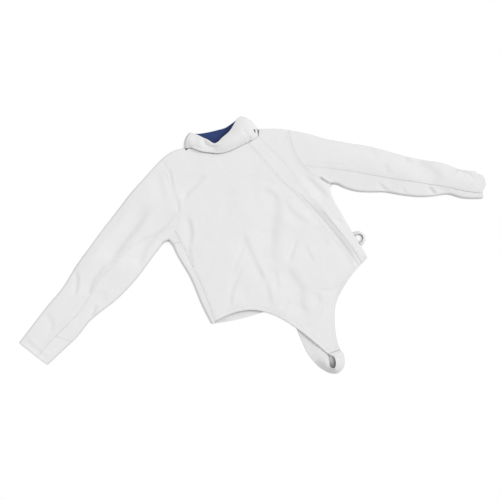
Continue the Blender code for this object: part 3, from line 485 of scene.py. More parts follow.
CUFF_SEAM = np.array([SEAM_RIGHT[-1 - CUFF_PIECE_STEPS], SLEEVE_UNDER_RIGHT.points[-1 - CUFF_PIECE_STEPS]])
GUSSET_SEAM = np.array([SIDE_LINE[GUSSET_STEPS], SIDE_EDGE_RIGHT.points[GUSSET_STEPS]])

# How open each seam shows, at its start and at its end
SEAM_LINES = [
    (ARM_RIGHT, 0.15, 0.12),
    (SEAM_RIGHT, 0.15, 0.65),
    (ARM_LEFT, 0.75, 0.45),
    (SEAM_LEFT, 0.35, 2.00),
    (SIDE_LINE, 0.80, 0.60),
    (ZIP_RIGHT, 0.02, 0.60),
    (ZIP_LEFT, 0.02, 0.35),
    (CUFF_SEAM, 0.70, 0.50),
    (GUSSET_SEAM, 0.80, 0.80),
    (HEM, 1.0, 1.0),
    (NECK, 1.6, 0.0),
]
SEAMS = NearLines([line for line, _, _ in SEAM_LINES])
FOLDS = NearLines([run.points for run in RUNS_RIGHT + RUNS_LEFT])


def seam_openness(points):
    """How far the cut edges at plan points are rolled, in shares of EDGE_ROLL."""
    away, _, which = SEAMS.find(points)
    ends = np.array([ends for _, *ends in SEAM_LINES])[which[:, 0].astype(int)]
    open_there = ends[:, 0] + (ends[:, 1] - ends[:, 0]) * which[:, 1]
    return np.where(away < SEAM_NEAR, open_there, FREE_EDGE)


def swell_height(points, x, y, along, across, turn, height):
    turn = np.radians(turn)
    off = points - np.array([x, y]) * MM
    along = off @ np.array([np.cos(turn), np.sin(turn)]) / (along * MM)
    across = off @ np.array([-np.sin(turn), np.cos(turn)]) / (across * MM)
    return height * MM * np.exp(-(along**2) - across**2)


def crease_height(points, x0, y0, x1, y1, bow, depth, width, lip):
    start, end = np.array([x0, y0]) * MM, np.array([x1, y1]) * MM
    length = np.linalg.norm(end - start)
    along = (end - start) / length
    off = points - start
    share = off @ along / length
    aside = off @ np.array([-along[1], along[0]])
    aside = aside - bow * MM * 4 * share * (1 - share)
    width = width * MM
    fade = smoothstep(share / CREASE_FADE + 0.2) * smoothstep((1 - share) / CREASE_FADE + 0.2)
    spread = np.where(aside * lip < 0, CREASE_RUNOUT, 1.0) * width
    trough = np.exp(-((aside / spread) ** 2))
    ridge = np.exp(-(((aside - lip * 2.0 * width) / (1.2 * width)) ** 2))
    return depth * MM * fade * (trough - CREASE_LIP * abs(lip) * ridge)


def slack_height(points):
    """The slight unevenness of cloth that lies loose."""
    waves = []
    for often, height, place in (SLACK_WIDE, SLACK_SMALL):
        waves.append(np.array([noise.noise((x * often, y * often, place)) for x, y in points]) * height)
    return sum(waves) * MM


def hem_window(points):
    """Where the front hem sinks towards the back one: 1 in the middle of that stretch."""
    x = points[..., 0]
    (first, last), (rise, fall) = HEM_DROP_X, HEM_DROP_RAMPS
    return smoothstep((x - first) / rise) * smoothstep((last - x) / fall)


def lay_height(points):
    """How far the upper layer stands above a flat fold's top at plan points."""
    away, _, _ = FOLDS.find(points)
    height = LOFT * (1 - np.exp(-np.maximum(away - FOLD, 0) / LOFT_REACH))
    height -= TAIL_DROP * smoothstep((TAIL_FROM - points[:, 1]) / TAIL_OVER)
    height -= HEM_DROP * hem_window(points) * smoothstep((points[:, 1] - HEM_DROP_FROM) / -HEM_DROP_OVER)
    for swell in SWELLS:
        height += swell_height(points, *swell)
    for crease in CREASES:
        height += crease_height(points, *crease)
    off_seam, way, _ = SEAMS.find(points)
    wave = np.sin(2 * np.pi * way / PUCKER_PITCH + 1.3 * np.sin(way * 61)) * (0.6 + 0.4 * np.sin(way * 23))
    height += PUCKER * wave * np.exp(-off_seam / PUCKER_REACH)
    return height + slack_height(points) * smoothstep((away - FOLD) / SLACK_OFF_FOLD)


class Patch:
    """A grid of cloth: plan points, turn over the fold (90 degrees on top, -90 below),
    the direction out of the garment, and a lift off the lay."""

    def __init__(self, points, turn=np.pi / 2, outward=0.0, lift=0.0):
        self.points = points
        self.turn = np.broadcast_to(turn, points.shape[:2])
        self.outward = np.broadcast_to(outward, points.shape)
        self.lift = np.broadcast_to(lift, points.shape[:2])

    def surface(self):
        """The patch's outer points, the directions off them and where they lie in the flat cut."""
        flat = self.points.reshape(-1, 2)
        turn, outward = self.turn.reshape(-1), self.outward.reshape(-1, 2)
        upper = np.maximum(np.sin(turn), 0)
        extra = lay_height(flat) if upper.any() else np.zeros(len(flat))
        height = FOLD * (1 + np.sin(turn)) + upper**2 * extra + self.lift.reshape(-1)
        facing = np.column_stack([outward * np.cos(turn)[:, None], np.sin(turn)])
        unrolled = flat + outward * (FOLD * (np.pi / 2 - turn) - FOLD * np.cos(turn))[:, None]
        shape = self.points.shape[:2]
        grid = np.column_stack([flat, height]).reshape(*shape, 3)
        return grid, facing.reshape(*shape, 3), unrolled.reshape(*shape, 2)


def between(left, right, top, bottom):
    """Plan points between four lines. left and right run down, top and bottom run across."""
    down = np.linspace(0, 1, len(left))[:, None, None]
    across = np.linspace(0, 1, len(top))[None, :, None]
    sides = (1 - across) * left[:, None] + across * right[:, None]
    ends = (1 - down) * top[None] + down * bottom[None]
    corners = (1 - down) * ((1 - across) * top[0] + across * top[-1])
    corners = corners + down * ((1 - across) * bottom[0] + across * bottom[-1])
    return sides + ends - corners


def over_fold(edge):
    """The two patches that wrap cloth over a folded edge, from its top to its underside."""
    patches = []
    for sign in (1, -1):
        angles = RIM_ANGLES * sign
        points = np.stack([edge.inset(FOLD * (1 - np.cos(a))) for a in angles], axis=1)
        outward = np.repeat(-edge.inward[:, None], len(angles), axis=1)
        patches.append(Patch(points, angles[None, :], outward))
    return patches


def under(points):
    """A patch of the lower layer, flat on the surface but for the back hem's slight rise."""
    rise = HEM_RISE * hem_window(points) * smoothstep((points[..., 1] - HEM_DROP_FROM) / -HEM_DROP_OVER)
    return Patch(points, -np.pi / 2, lift=rise)


class Cloth:
    """Grids of cloth sewn into one surface: points, faces, and the flat cut's place of each
    face's corners."""

    def __init__(self, surfaces, merged=True):
        points, faces, cut, count = [], [], [], 0
        for grid, facing, flat_cut in surfaces:
            rows, columns = grid.shape[:2]
            index = np.arange(rows * columns).reshape(rows, columns)
            quads = np.stack([index[:-1, :-1], index[:-1, 1:], index[1:, 1:], index[1:, :-1]], -1)
            quads = quads.reshape(-1, 4)
            flat, off = grid.reshape(-1, 3), facing.reshape(-1, 3)
            diagonal = np.cross(flat[quads[:, 2]] - flat[quads[:, 0]], flat[quads[:, 3]] - flat[quads[:, 1]])
            if (diagonal * off[quads[:, 0]]).sum() < 0:
                quads = quads[:, ::-1]
            points.append(flat)
            faces.append(quads + count)
            cut.append(flat_cut.reshape(-1, 2))
            count += rows * columns
        points, faces, cut = np.vstack(points), np.vstack(faces), np.vstack(cut)
        self.corner_cut = cut[faces]
        if merged:
            keys = np.round(points / 1e-6).astype(np.int64)
            _, first, same = np.unique(keys, axis=0, return_index=True, return_inverse=True)
            points, faces = points[first], same.reshape(-1)[faces]
        self.points, self.faces = points, faces
        self.normals = self.directions_off()
        self.edges = self.border()

    def directions_off(self):
        a, b, c, d = (self.points[self.faces[:, i]] for i in range(4))
        face_normal = np.cross(c - a, d - b)
        normals = np.zeros_like(self.points)
        for i in range(4):
            np.add.at(normals, self.faces[:, i], face_normal)
        return normals / np.maximum(np.linalg.norm(normals, axis=1), 1e-12)[:, None]

    def border(self):
        """The edges that only one face has, as that face runs them."""
        edges = np.vstack([self.faces[:, [i, (i + 1) % 4]] for i in range(4)])
        edges = edges[edges[:, 0] != edges[:, 1]]
        span = len(self.points)
        there, back = edges[:, 0] * span + edges[:, 1], edges[:, 1] * span + edges[:, 0]
        return edges[~np.isin(there, back)]

    def inward(self):
        """For each point of the border, the step that draws both of its edges in by one."""
        first, second = self.edges.T
        step = self.points[second] - self.points[first]
        across = np.cross(self.normals[first] + self.normals[second], step)
        across /= np.linalg.norm(across, axis=1)[:, None]
        before, after = np.zeros_like(self.points), np.zeros_like(self.points)
        before[second] = across
        after[first] = across
        both = 1 + (before * after).sum(1)[:, None]
        return (before + after) / np.maximum(both, 0.35)


def piece_of(
    name, cloth, thickness, finish, trim=SEAM_GAP / 2, roll=EDGE_ROLL, width=EDGE_WIDTH, sewn=False
):
    """A wall of cloth under a surface, with its cut edges rolled over, as a finished object."""
    edges, normals, inward = cloth.edges, cloth.normals, cloth.inward()
    rim_index = np.unique(edges)
    place = np.full(len(cloth.points), -1)
    place[rim_index] = np.arange(len(rim_index))
    base, off, into = cloth.points[rim_index], normals[rim_index], inward[rim_index]
    if sewn:
        openness = np.where(base[:, 2] > FOLD, seam_openness(base[:, :2]), 1.0)[:, None]
        roll = roll * openness
        trim_all = np.full((len(cloth.points), 1), trim)
        trim_all[rim_index] = trim * np.minimum(openness, 1)
        trim, inner_trim = trim_all[rim_index], trim_all
    else:
        inner_trim = trim
    outer = cloth.points + inward * (inner_trim + width)
    shoulder = base + into * (trim + EDGE_SHOULDER[0] * width) - off * EDGE_SHOULDER[1] * roll
    edge = base + into * trim - off * roll
    inner = cloth.points + inward * inner_trim - normals * thickness
    round_rim, back = len(rim_index), len(outer) + 2 * len(rim_index)
    a, b = edges.T
    a_rim, b_rim = place[a] + len(outer), place[b] + len(outer)
    rings = [
        np.column_stack([b, a, a_rim, b_rim]),
        np.column_stack([b_rim, a_rim, a_rim + round_rim, b_rim + round_rim]),
        np.column_stack([b_rim + round_rim, a_rim + round_rim, a + back, b + back]),
    ]
    inside = cloth.faces[:, ::-1] + back
    faces = np.vstack([cloth.faces, *rings, inside])
    cut = np.zeros((len(outer), 2))
    cut[cloth.faces.reshape(-1)] = cloth.corner_cut.reshape(-1, 2)
    corner_cut = [cloth.corner_cut.reshape(-1, 2)]
    for _ in rings:
        corner_cut.append(cut[np.column_stack([b, a, a, b])].reshape(-1, 2))
    corner_cut.append(cloth.corner_cut[:, ::-1].reshape(-1, 2))
    places = np.vstack([outer, shoulder, edge, inner])
    places[:, 2] = np.maximum(places[:, 2], 0.0)
    places[:, :2] -= CENTRE
    mesh = bpy.data.meshes.new(name)
    mesh.from_pydata(places.tolist(), [], faces.tolist())
    layer = mesh.uv_layers.new(name="flat_cut")
    layer.data.foreach_set("uv", np.vstack(corner_cut).astype(np.float32).reshape(-1))
    return finished(mesh, finish, CLOTH_SHARP)


def put(name, data):
    """A new object in the scene."""
    made = bpy.data.objects.new(name, data)
    scene.collection.objects.link(made)
    return made


def finished(mesh, finish, sharp_from):
    """A mesh as an object in its material, smooth but for edges over an angle in degrees."""
    mesh.materials.append(finish)
    mesh.shade_smooth()
    mesh.set_sharp_from_angle(angle=np.radians(sharp_from))
    return put(mesh.name, mesh)


def panel(node, patches, finish):
    """A panel of the garment, by the node of the solid whose place it takes."""
    surface = Cloth([patch.surface() for patch in patches])
    return {node: piece_of("cloth_" + node, surface, CLOTH, finish, sewn=True)}


def straight(start, end, steps):
    return start + (end - start) * np.linspace(0, 1, steps + 1)[:, None]


def make_fronts(cloth):
    top = np.vstack([SHOULDER_EDGE_RIGHT.inner[::-1], NECK[1 : NECK_STEPS + 1]])
    waist = straight(HEM[HEM_STEPS], ZIP_RIGHT[-1], BODY_COLUMNS - HEM_STEPS)
    body = between(BODY_RIGHT, ZIP_RIGHT, top, np.vstack([HEM[: HEM_STEPS + 1], waist[1:]]))
    tip = straight(HEM[-1], TAIL_LEFT[-1], len(waist) - 1)
    tail = between(HEM[HEM_STEPS:], TAIL_LEFT, waist, tip)
    right = panel("front_right", [Patch(body), Patch(tail)] + over_fold(SHOULDER_EDGE_RIGHT), cloth)

    hem = through(np.vstack([ZIP_LEFT[-1:], SIDE_EDGE_LEFT.inner[-1:]]), (1, SHOULDER_STEPS + 2 * FINER))
    top = np.vstack([NECK[NECK_PLACKET:], SHOULDER_EDGE_LEFT.inner[1:]])
    side = Patch(between(ZIP_LEFT, BODY_LEFT, top, hem))
    folded = over_fold(SHOULDER_EDGE_LEFT) + over_fold(SIDE_EDGE_LEFT)
    return {**right, **panel("front_left", [side] + folded, cloth)}


def placket_lift(share):
    return PLACKET_RAISED + (PLACKET_SUNK - PLACKET_RAISED) * smoothstep((share - 0.4) / 0.35)


def make_placket(cloth):
    top = NECK[NECK_STEPS : NECK_PLACKET + 1]
    bottom = straight(ZIP_RIGHT[-1], ZIP_LEFT[-1], PLACKET_STEPS)
    lift = placket_lift(np.linspace(0, 1, BODY_STEPS + 1)[:, None])
    return panel("zip_placket", [Patch(between(ZIP_RIGHT, ZIP_LEFT, top, bottom), lift=lift)], cloth)


def make_back(cloth):
    top = np.vstack([SHOULDER_EDGE_RIGHT.inner[::-1], BACK_NECK[1:], SHOULDER_EDGE_LEFT.inner[1:]])
    side = np.vstack([BODY_RIGHT[:-1], plan(HEM_BACK)[:1]])
    hem = through(np.vstack([plan(HEM_BACK), BODY_LEFT[-1:]]), (len(HEM_BACK), len(top) - 1))
    return panel("back", [under(between(side, BODY_LEFT, top, hem))], cloth)


def strips(edge, above, below, parts, cloth):
    """Panels that wrap a folded edge, one after another. Each part is its node and its last step."""
    made, first = {}, 0
    for node, last in parts:
        rows = slice(first, last + 1)
        patches = [Patch(above[rows]), under(below[rows])] + over_fold(edge.part(first, last))
        made.update(panel(node, patches, cloth))
        first = last
    return made


def make_side(cloth):
    inset = SIDE_EDGE_RIGHT.inner
    top = ARM_RIGHT[: ARM_RIGHT_SIDE - 1 : -1]
    bottom = np.linspace(inset[-1], SIDE_LINE[-1], len(top))
    strip = between(inset, SIDE_LINE, top, bottom)
    parts = [("underarm_gusset", GUSSET_STEPS), ("side_panel", SIDE_STEPS)]
    return strips(SIDE_EDGE_RIGHT, strip, strip, parts, cloth)


def make_sleeve(side, cloth, top_edge, under_edge, arm, seam_at, seam, cuff_piece, bulge=()):
    """A two-piece sleeve. The under sleeve wraps the lower edge and is its flat underside."""
    points = np.vstack([top_edge.inner[-1:], *plan(bulge), seam[-1:], under_edge.inner[-1:]])
    cuff = through(points, (len(points) - 2, seam_at), (len(points) - 1, len(arm) - 1 - seam_at))
    upper = between(top_edge.inner, seam, arm[: seam_at + 1], cuff[: seam_at + 1])
    strip = between(seam, under_edge.inner, arm[seam_at:], cuff[seam_at:])
    below = np.hstack([upper, strip[:, 1:]])
    name = f"sleeve_{side}_"
    parts = [(name + "under", SLEEVE_STEPS - cuff_piece)]
    if cuff_piece:
        parts.append((name + "cuff", SLEEVE_STEPS))
    made = panel(name + "upper", [Patch(upper)] + over_fold(top_edge), cloth)
    return {**made, **strips(under_edge, strip, below, parts, cloth)}, cuff


def edge_on_top(points):
    """The outer edge of the upper layer at plan points, a seam's gap above the cloth."""
    return np.column_stack([points, 2 * FOLD + lay_height(points) + SEAM_GAP])


def directions(grid, axis):
    """The way a grid runs at each of its points, as the mean of the steps on both sides."""
    step = np.diff(grid, axis=axis)
    step /= np.linalg.norm(step, axis=2)[..., None]
    first, last = np.take(step, [0], axis), np.take(step, [-1], axis)
    return np.concatenate([first, step], axis) + np.concatenate([step, last], axis)


def grid_normals(grid, middle):
    """Directions off a grid of points, on its side away from the middle points."""
    normal = np.cross(directions(grid, 1), directions(grid, 0))
    normal /= np.linalg.norm(normal, axis=2)[..., None]
    return normal if ((grid - middle) * normal).sum() > 0 else -normal


def collar_grid():
    """The collar's outer points, from its foot in the neck opening to its rim."""
    front = spline(NECK[: NECK_PLACKET + 1])[::-1]
    front = edge_on_top(front[front[:, 0] > FRONT_FOOT_END])
    back = spline(BACK_NECK)
    back = back[(back[:, 0] > BACK_FOOT[0]) & (back[:, 0] < BACK_FOOT[1])]
    back = np.column_stack([back, np.zeros(len(back))])
    right = np.vstack([front[-1:], np.array(FOOT_TURN_RIGHT) * MM, back[:1]])
    left = np.vstack([back[-1:], np.array(FOOT_TURN_LEFT) * MM])
    stretches = [front, spline(right), back, spline(left)]
    foot, at = [front[:1]], [np.zeros(1)]
    for number, (stretch, steps) in enumerate(zip(stretches, COLLAR_STEPS)):
        foot.append(divided(stretch, steps, axes=3)[1:])
        at.append(number + np.linspace(0, 1, steps + 1)[1:])
    foot, at = np.vstack(foot), np.concatenate(at)
    stands = np.array(COLLAR, float)
    line = spline(stands, np.diff(stands[:, 0]))
    columns = np.column_stack([np.interp(at, line[:, 0], column * MM) for column in line[:, 1:].T])
    belly, rim = columns[:, :3], columns[:, 3:]
    below, above = (np.linalg.norm(step, axis=1)[:, None] for step in (belly - foot, rim - belly))
    middle = np.clip(below / (below + above), 0.25, 0.75)
    share = np.linspace(0, 1, COLLAR_ROWS + 1)[:, None, None]
    curve = foot * (share - middle) * (share - 1) / middle
    curve = curve + belly * share * (1 - share) / (middle * (1 - middle))
    return curve + rim * share * (share - middle) / (1 - middle), at


def make_collar(cloth, blue):
    grid, at = collar_grid()
    middle = grid.mean(axis=1, keepdims=True)
    normals = grid_normals(grid, middle)
    front = 1 - smoothstep((at[None] - 0.95) / 0.3)
    share = np.linspace(0, 1, COLLAR_ROWS + 1)[:, None]
    off_bead = (share - COLLAR_BEAD_AT) / COLLAR_BEAD_WIDTH
    bead = COLLAR_BEAD * np.exp(-(off_bead**2)) * smoothstep(share / 0.06)
    bead = bead * smoothstep((at[None] - 0.15) / 0.4) * smoothstep((1.0 - at[None]) / 0.12)
    bead = bead * (1 + 0.7 * smoothstep((at[None] - 0.5) / 0.4))
    flat = grid[..., :2].reshape(-1, 2)
    dents = sum(crease_height(flat, *crease) for crease in COLLAR_CREASES).reshape(grid.shape[:2])
    grid = grid + normals * ((bead + dents) * front)[..., None]
    normals = grid_normals(grid, middle)
    way = np.broadcast_to(way_along(grid[0], 3)[None], grid.shape[:2])
    rise = np.linalg.norm(np.diff(grid, axis=0), axis=2).cumsum(axis=0)
    run = np.stack([way, np.vstack([0 * rise[:1], rise])], axis=2)
    made = {}
    for name, depth, thickness, finish in (
        ("collar", 0.0, COLLAR_CLOTH, cloth),
        ("collar_lining", COLLAR_CLOTH + SEAM_GAP, LINING, blue),
    ):
        surface = Cloth([(grid - normals * depth, normals, run)], merged=False)
        made[name] = piece_of("cloth_" + name, surface, thickness, finish, trim=SEAM_GAP, roll=0.4 * MM)
    return made, grid, normals


def make_strap(elastic):
    rows = np.array(CROTCH_STRAP, float) * MM
    rows[0, [0, 1, 3, 4]] = np.concatenate([TAIL_LEFT[-1], HEM[-1]])
    ends = Patch(np.stack([TAIL_LEFT[-1], HEM[-1]])[None]).surface()[0]
    rows[0, 2], rows[0, 5] = ends[0, 0, 2], ends[0, 1, 2]
    line = divided(spline(rows), STRAP_STEPS[0], axes=3)
    outer, inner, arch = line[:, None, :3], line[:, None, 3:6], np.maximum(line[:, None, 6], 0)
    share = np.linspace(0, 1, STRAP_STEPS[1] + 1)[None, :, None]
    grid = outer + (inner - outer) * share
    grid[..., 2] += arch * np.sin(np.pi * share[..., 0] ** (np.log(0.5) / np.log(STRAP_RIDGE)))
    normals = grid_normals(grid, grid - [0, 0, 1])
    width, way = np.linalg.norm(inner - outer, axis=2), way_along(line, 3)[:, None]
    run = np.stack([width * share[..., 0], way + 0 * share[..., 0]], axis=2)
    surface = Cloth([(grid + normals * STRAP, normals, run)], merged=False)
    return {"crotch_strap": piece_of("webbing_crotch_strap", surface, STRAP, elastic, roll=0.5 * MM)}


def make_hip_loop(tape):
    rows = plan(HIP_LOOP)
    side = SIDE_EDGE_LEFT.points[::-1]
    rows[[0, -1], 0] = np.interp(rows[[0, -1], 1], side[:, 1], side[:, 0]) + 4 * SEAM_GAP
    line = divided(spline(rows), HIP_LOOP_STEPS[0])
    outward = np.column_stack([left_of(line), np.zeros(len(line))])
    flat = np.column_stack([line, np.full(len(line), HIP_LOOP_LOW)])
    rise, lean = np.cos(HIP_LOOP_LEAN), np.sin(HIP_LOOP_LEAN)
    across = HIP_LOOP_WIDTH * np.linspace(0, 1, HIP_LOOP_STEPS[1] + 1)
    grid = np.stack([flat + s * (rise * UP - lean * outward) for s in across])
    normals = np.repeat((rise * outward + lean * UP)[None], len(grid), axis=0)
    run = np.stack(np.broadcast_arrays(across[:, None], way_along(line)[None]), axis=2)
    surface = Cloth([(grid, normals, run)], merged=False)
    return {"hip_loop": piece_of("tape_hip_loop", surface, TAPE, tape, roll=0.3 * MM, width=0.6 * MM)}


# The hook plate's strip, bent: x and z of its outline from the side
HOOK_WIDTH = 2.6 * MM
HOOK_LIFT, HOOK_DEPTH = 0.6 * MM, 0.8 * MM
HOOK_ROUNDING = 0.12 * MM
HOOK_SIDE = [
    (-5.0, -0.80), (4.2, -0.80), (4.77, -0.57), (5.0, 0.0), (4.77, 0.57), (4.2, 0.80), (-1.4, 0.72),
    (-2.6, 1.00), (-2.8, 0.62), (-1.4, 0.36), (4.1, 0.40), (4.5, 0.0), (4.1, -0.40), (-5.0, -0.34),
]


def make_hook(grid, normals, metal):
    """The small closure on the collar's end: a strip of metal bent back over itself."""
    row, column = round(COLLAR_ROWS / 3), COLLAR_STEPS[0] // 19
    off, length = normals[row, column], directions(grid, 0)[row, column]
    length = length / np.linalg.norm(length)
    place = np.eye(4)
    place[:3, :3] = np.column_stack([length, np.cross(off, length), off])
    place[:3, 3] = grid[row, column] + off * (HOOK_LIFT + HOOK_DEPTH)
    place[:2, 3] -= CENTRE
    shape = bmesh.new()
    near = [shape.verts.new((x * MM, -HOOK_WIDTH / 2, z * MM)) for x, z in HOOK_SIDE]
    side = shape.faces.new(near)
    grown = bmesh.ops.extrude_face_region(shape, geom=[side])["geom"]
    far = [item for item in grown if isinstance(item, bmesh.types.BMVert)]
    bmesh.ops.translate(shape, verts=far, vec=(0, HOOK_WIDTH, 0))
    rounding = {"offset": HOOK_ROUNDING, "segments": 2, "affect": "EDGES", "clamp_overlap": True}
    bmesh.ops.bevel(shape, geom=shape.edges[:], **rounding)
    bmesh.ops.recalc_face_normals(shape, faces=shape.faces[:])
    shape.transform(Matrix(place.tolist()))
    mesh = bpy.data.meshes.new("metal_collar_hook")
    shape.to_mesh(mesh)
    shape.free()
    return {"collar_hook": finished(mesh, metal, METAL_SHARP)}


class Tree:
    """Adds nodes to a tree. An input takes a value, or the socket that it is linked from."""

    def __init__(self, tree):
        self.tree = tree

    def feed(self, node, values):
        for key, value in values.items():
            if isinstance(value, bpy.types.NodeSocket):
                self.tree.links.new(value, node.inputs[key])
            else:
                node.inputs[key].default_value = value
        return node

    def add(self, kind, values=None, **settings):
        node = self.tree.nodes.new(kind)
        for key, value in settings.items():
            setattr(node, key, value)
        return self.feed(node, values or {})

    def math(self, operation, a, b=0.0):
        return self.add("ShaderNodeMath", {0: a, 1: b}, operation=operation).outputs[0]

    def noise(self, place, scale, detail):
        values = {"Vector": place, "Scale": scale, "Detail": detail}
        return self.add("ShaderNodeTexNoise", values).outputs[0]


def group_tree(name, kind, inputs, outputs):
    """A node group with named sockets, its input node's sockets and its output node."""
    group = bpy.data.node_groups.new(name, kind)
    for way, sockets in (("INPUT", inputs), ("OUTPUT", outputs)):
        for socket, socket_kind in sockets.items():
            group.interface.new_socket(socket, in_out=way, socket_type="NodeSocket" + socket_kind)
    tree = Tree(group)
    return group, tree, tree.add("NodeGroupInput").outputs, tree.add("NodeGroupOutput")


def textile_group():
    """Threads that cross: the pattern's place, the pitch both ways and the colours come in. The hollows
    between the threads take the darker colour as painted shade.
    """
    group, tree, given, out = group_tree(
        "CrossedThreads",
        "ShaderNodeTree",
        {
            "Place": "Vector",
            **dict.fromkeys(["Across", "Along", "Repeat", "Slub", "Gloss"], "Float"),
            **dict.fromkeys(["Crown", "ValleyShade"], "Color"),
        },
        {"Color": "Color", "Roughness": "Float", "Height": "Float"},
    )
    place = tree.add("ShaderNodeSeparateXYZ", {0: given["Place"]}).outputs
    u = tree.math("DIVIDE", place[0], given["Across"])
    v = tree.math("DIVIDE", place[1], given["Along"])
    waves = (tree.math("SINE", tree.math("MULTIPLY", way, math.pi)) for way in (u, v))
    warp, weft = (tree.math("ABSOLUTE", wave) for wave in waves)
    cell = tree.math("ADD", tree.math("FLOOR", u), tree.math("FLOOR", v))
    turn = tree.math("FLOORED_MODULO", cell, given["Repeat"])
    over = tree.math("LESS_THAN", turn, 1.0)
    height = tree.add("ShaderNodeMix", {0: over, 2: warp, 3: weft}, data_type="FLOAT").outputs[0]
    fuzz, broad = (tree.noise(given["Place"], scale, detail) for scale, detail in ((900.0, 2.0), (11.0, 3.0)))
    uneven = tree.math("MULTIPLY", tree.math("SUBTRACT", fuzz, 0.5), given["Slub"])
    height = tree.math("ADD", height, uneven)
    # Painted shade: the hollows between the threads are coloured darker than their crowns
    tint = {"Factor": height, 6: given["ValleyShade"], 7: given["Crown"]}
    tint = tree.add("ShaderNodeMix", tint, data_type="RGBA").outputs[2]
    shade = tree.math("ADD", tree.math("MULTIPLY", broad, 0.05), 0.975)
    color = tree.add("ShaderNodeVectorMath", {0: tint, 3: shade}, operation="SCALE").outputs[0]
    rough = tree.math("SUBTRACT", given["Gloss"], tree.math("MULTIPLY", height, 0.08))
    tree.feed(out, {"Color": color, "Roughness": rough, "Height": height})
    return group


def bare_material(name):
    material = bpy.data.materials.new(name)
    material.use_nodes = True
    material.node_tree.nodes.clear()
    return material, Tree(material.node_tree)


def principled(name):
    material, tree = bare_material(name)
    shader = tree.add("ShaderNodeBsdfPrincipled")
    tree.add("ShaderNodeOutputMaterial", {"Surface": shader.outputs[0]})
    return material, tree, shader


def textile(name, group, crown, valley_shade, across, along, repeat, slub, gloss, relief, sheen):
    material, tree, shader = principled(name)
    given = {
        "Place": tree.add("ShaderNodeUVMap", uv_map="flat_cut").outputs[0],
        "Crown": (*crown, 1),
        "ValleyShade": (*valley_shade, 1),
        "Across": across * MM,
        "Along": along * MM,
        "Repeat": repeat,
        "Slub": slub,
        "Gloss": gloss,
    }
    seen = tree.add("ShaderNodeGroup", given, node_tree=group).outputs
    bump = {"Height": seen["Height"], "Strength": BUMP_STRENGTH, "Distance": relief * MM}
    bump = tree.add("ShaderNodeBump", bump)
    tree.feed(shader, {"Base Color": seen["Color"], "Roughness": seen["Roughness"]})
    tree.feed(shader, {"Normal": bump.outputs[0], "Specular IOR Level": CLOTH_SPECULAR})
    tree.feed(shader, {"Sheen Weight": sheen, "Sheen Roughness": SHEEN_ROUGHNESS})
    return material


def plain(name, color, roughness, metallic, wear):
    """Thread, zip coil or metal: one colour, with its gloss slightly uneven."""
    material, tree, shader = principled(name)
    place = tree.add("ShaderNodeTexCoord").outputs["Object"]
    uneven = tree.math("MULTIPLY", tree.noise(place, 1400.0, 2.0), wear)
    rough = tree.math("ADD", uneven, roughness - wear / 2)
    tree.feed(shader, {"Base Color": (*color, 1), "Roughness": rough, "Metallic": metallic})
    return material


def bar_rows_group():
    """Short rounded bars set along lines, or across them: stitches, or the turns of a coil."""
    group, tree, given, out = group_tree(
        "BarRows",
        "GeometryNodeTree",
        {
            "Lines": "Geometry",
            **dict.fromkeys(["Pitch", "Length", "Wire", "Sink", "Crosswise"], "Float"),
            "Finish": "Material",
        },
        {"Bars": "Geometry"},
    )
    curve = tree.add("GeometryNodeMeshToCurve", {"Mesh": given["Lines"]}).outputs[0]
    spaced = tree.add("GeometryNodeResampleCurve", {"Curve": curve, "Length": given["Pitch"]}, mode="LENGTH")
    bar = {"Vertices": 6, "Side Segments": 4, "Radius": given["Wire"], "Depth": given["Length"]}
    bar = tree.add("GeometryNodeMeshCylinder", bar, fill_type="NGON").outputs["Mesh"]
    place = tree.add("ShaderNodeSeparateXYZ", {0: tree.add("GeometryNodeInputPosition").outputs[0]}).outputs
    reach = tree.math("DIVIDE", place[2], tree.math("MULTIPLY", given["Length"], 0.5))
    squared = tree.math("MULTIPLY", reach, reach)
    taper = tree.math("SQRT", tree.math("SUBTRACT", 1.0, tree.math("MULTIPLY", squared, 0.8)))
    dip = tree.math("MULTIPLY", squared, given["Sink"])
    height = tree.math("SUBTRACT", tree.math("MULTIPLY", place[1], taper), dip)
    bent = {0: tree.math("MULTIPLY", place[0], taper), 1: height, 2: place[2]}
    bent = tree.add("ShaderNodeCombineXYZ", bent)
    bar = tree.add("GeometryNodeSetPosition", {"Geometry": bar, "Position": bent.outputs[0]}).outputs[0]
    off = tree.add("GeometryNodeInputNamedAttribute", {"Name": "off"}, data_type="FLOAT_VECTOR").outputs[0]
    along = tree.add("GeometryNodeInputTangent").outputs[0]
    across = tree.add("ShaderNodeVectorMath", {0: along, 1: off}, operation="CROSS_PRODUCT").outputs[0]
    way = {0: given["Crosswise"], 4: along, 5: across}
    way = tree.add("ShaderNodeMix", way, data_type="VECTOR").outputs[1]
    align = "FunctionNodeAlignRotationToVector"
    turned = tree.add(align, {"Vector": way}, axis="Z").outputs[0]
    turned = tree.add(align, {"Rotation": turned, "Vector": off}, axis="Y", pivot_axis="Z").outputs[0]
    placed = {"Points": spaced.outputs[0], "Instance": bar, "Rotation": turned}
    placed = tree.add("GeometryNodeInstanceOnPoints", placed).outputs[0]
    whole = tree.add("GeometryNodeRealizeInstances", {0: placed}).outputs[0]
    whole = tree.add("GeometryNodeSetMaterial", {"Geometry": whole, "Material": given["Finish"]})
    tree.feed(out, {0: whole.outputs[0]})
    return group


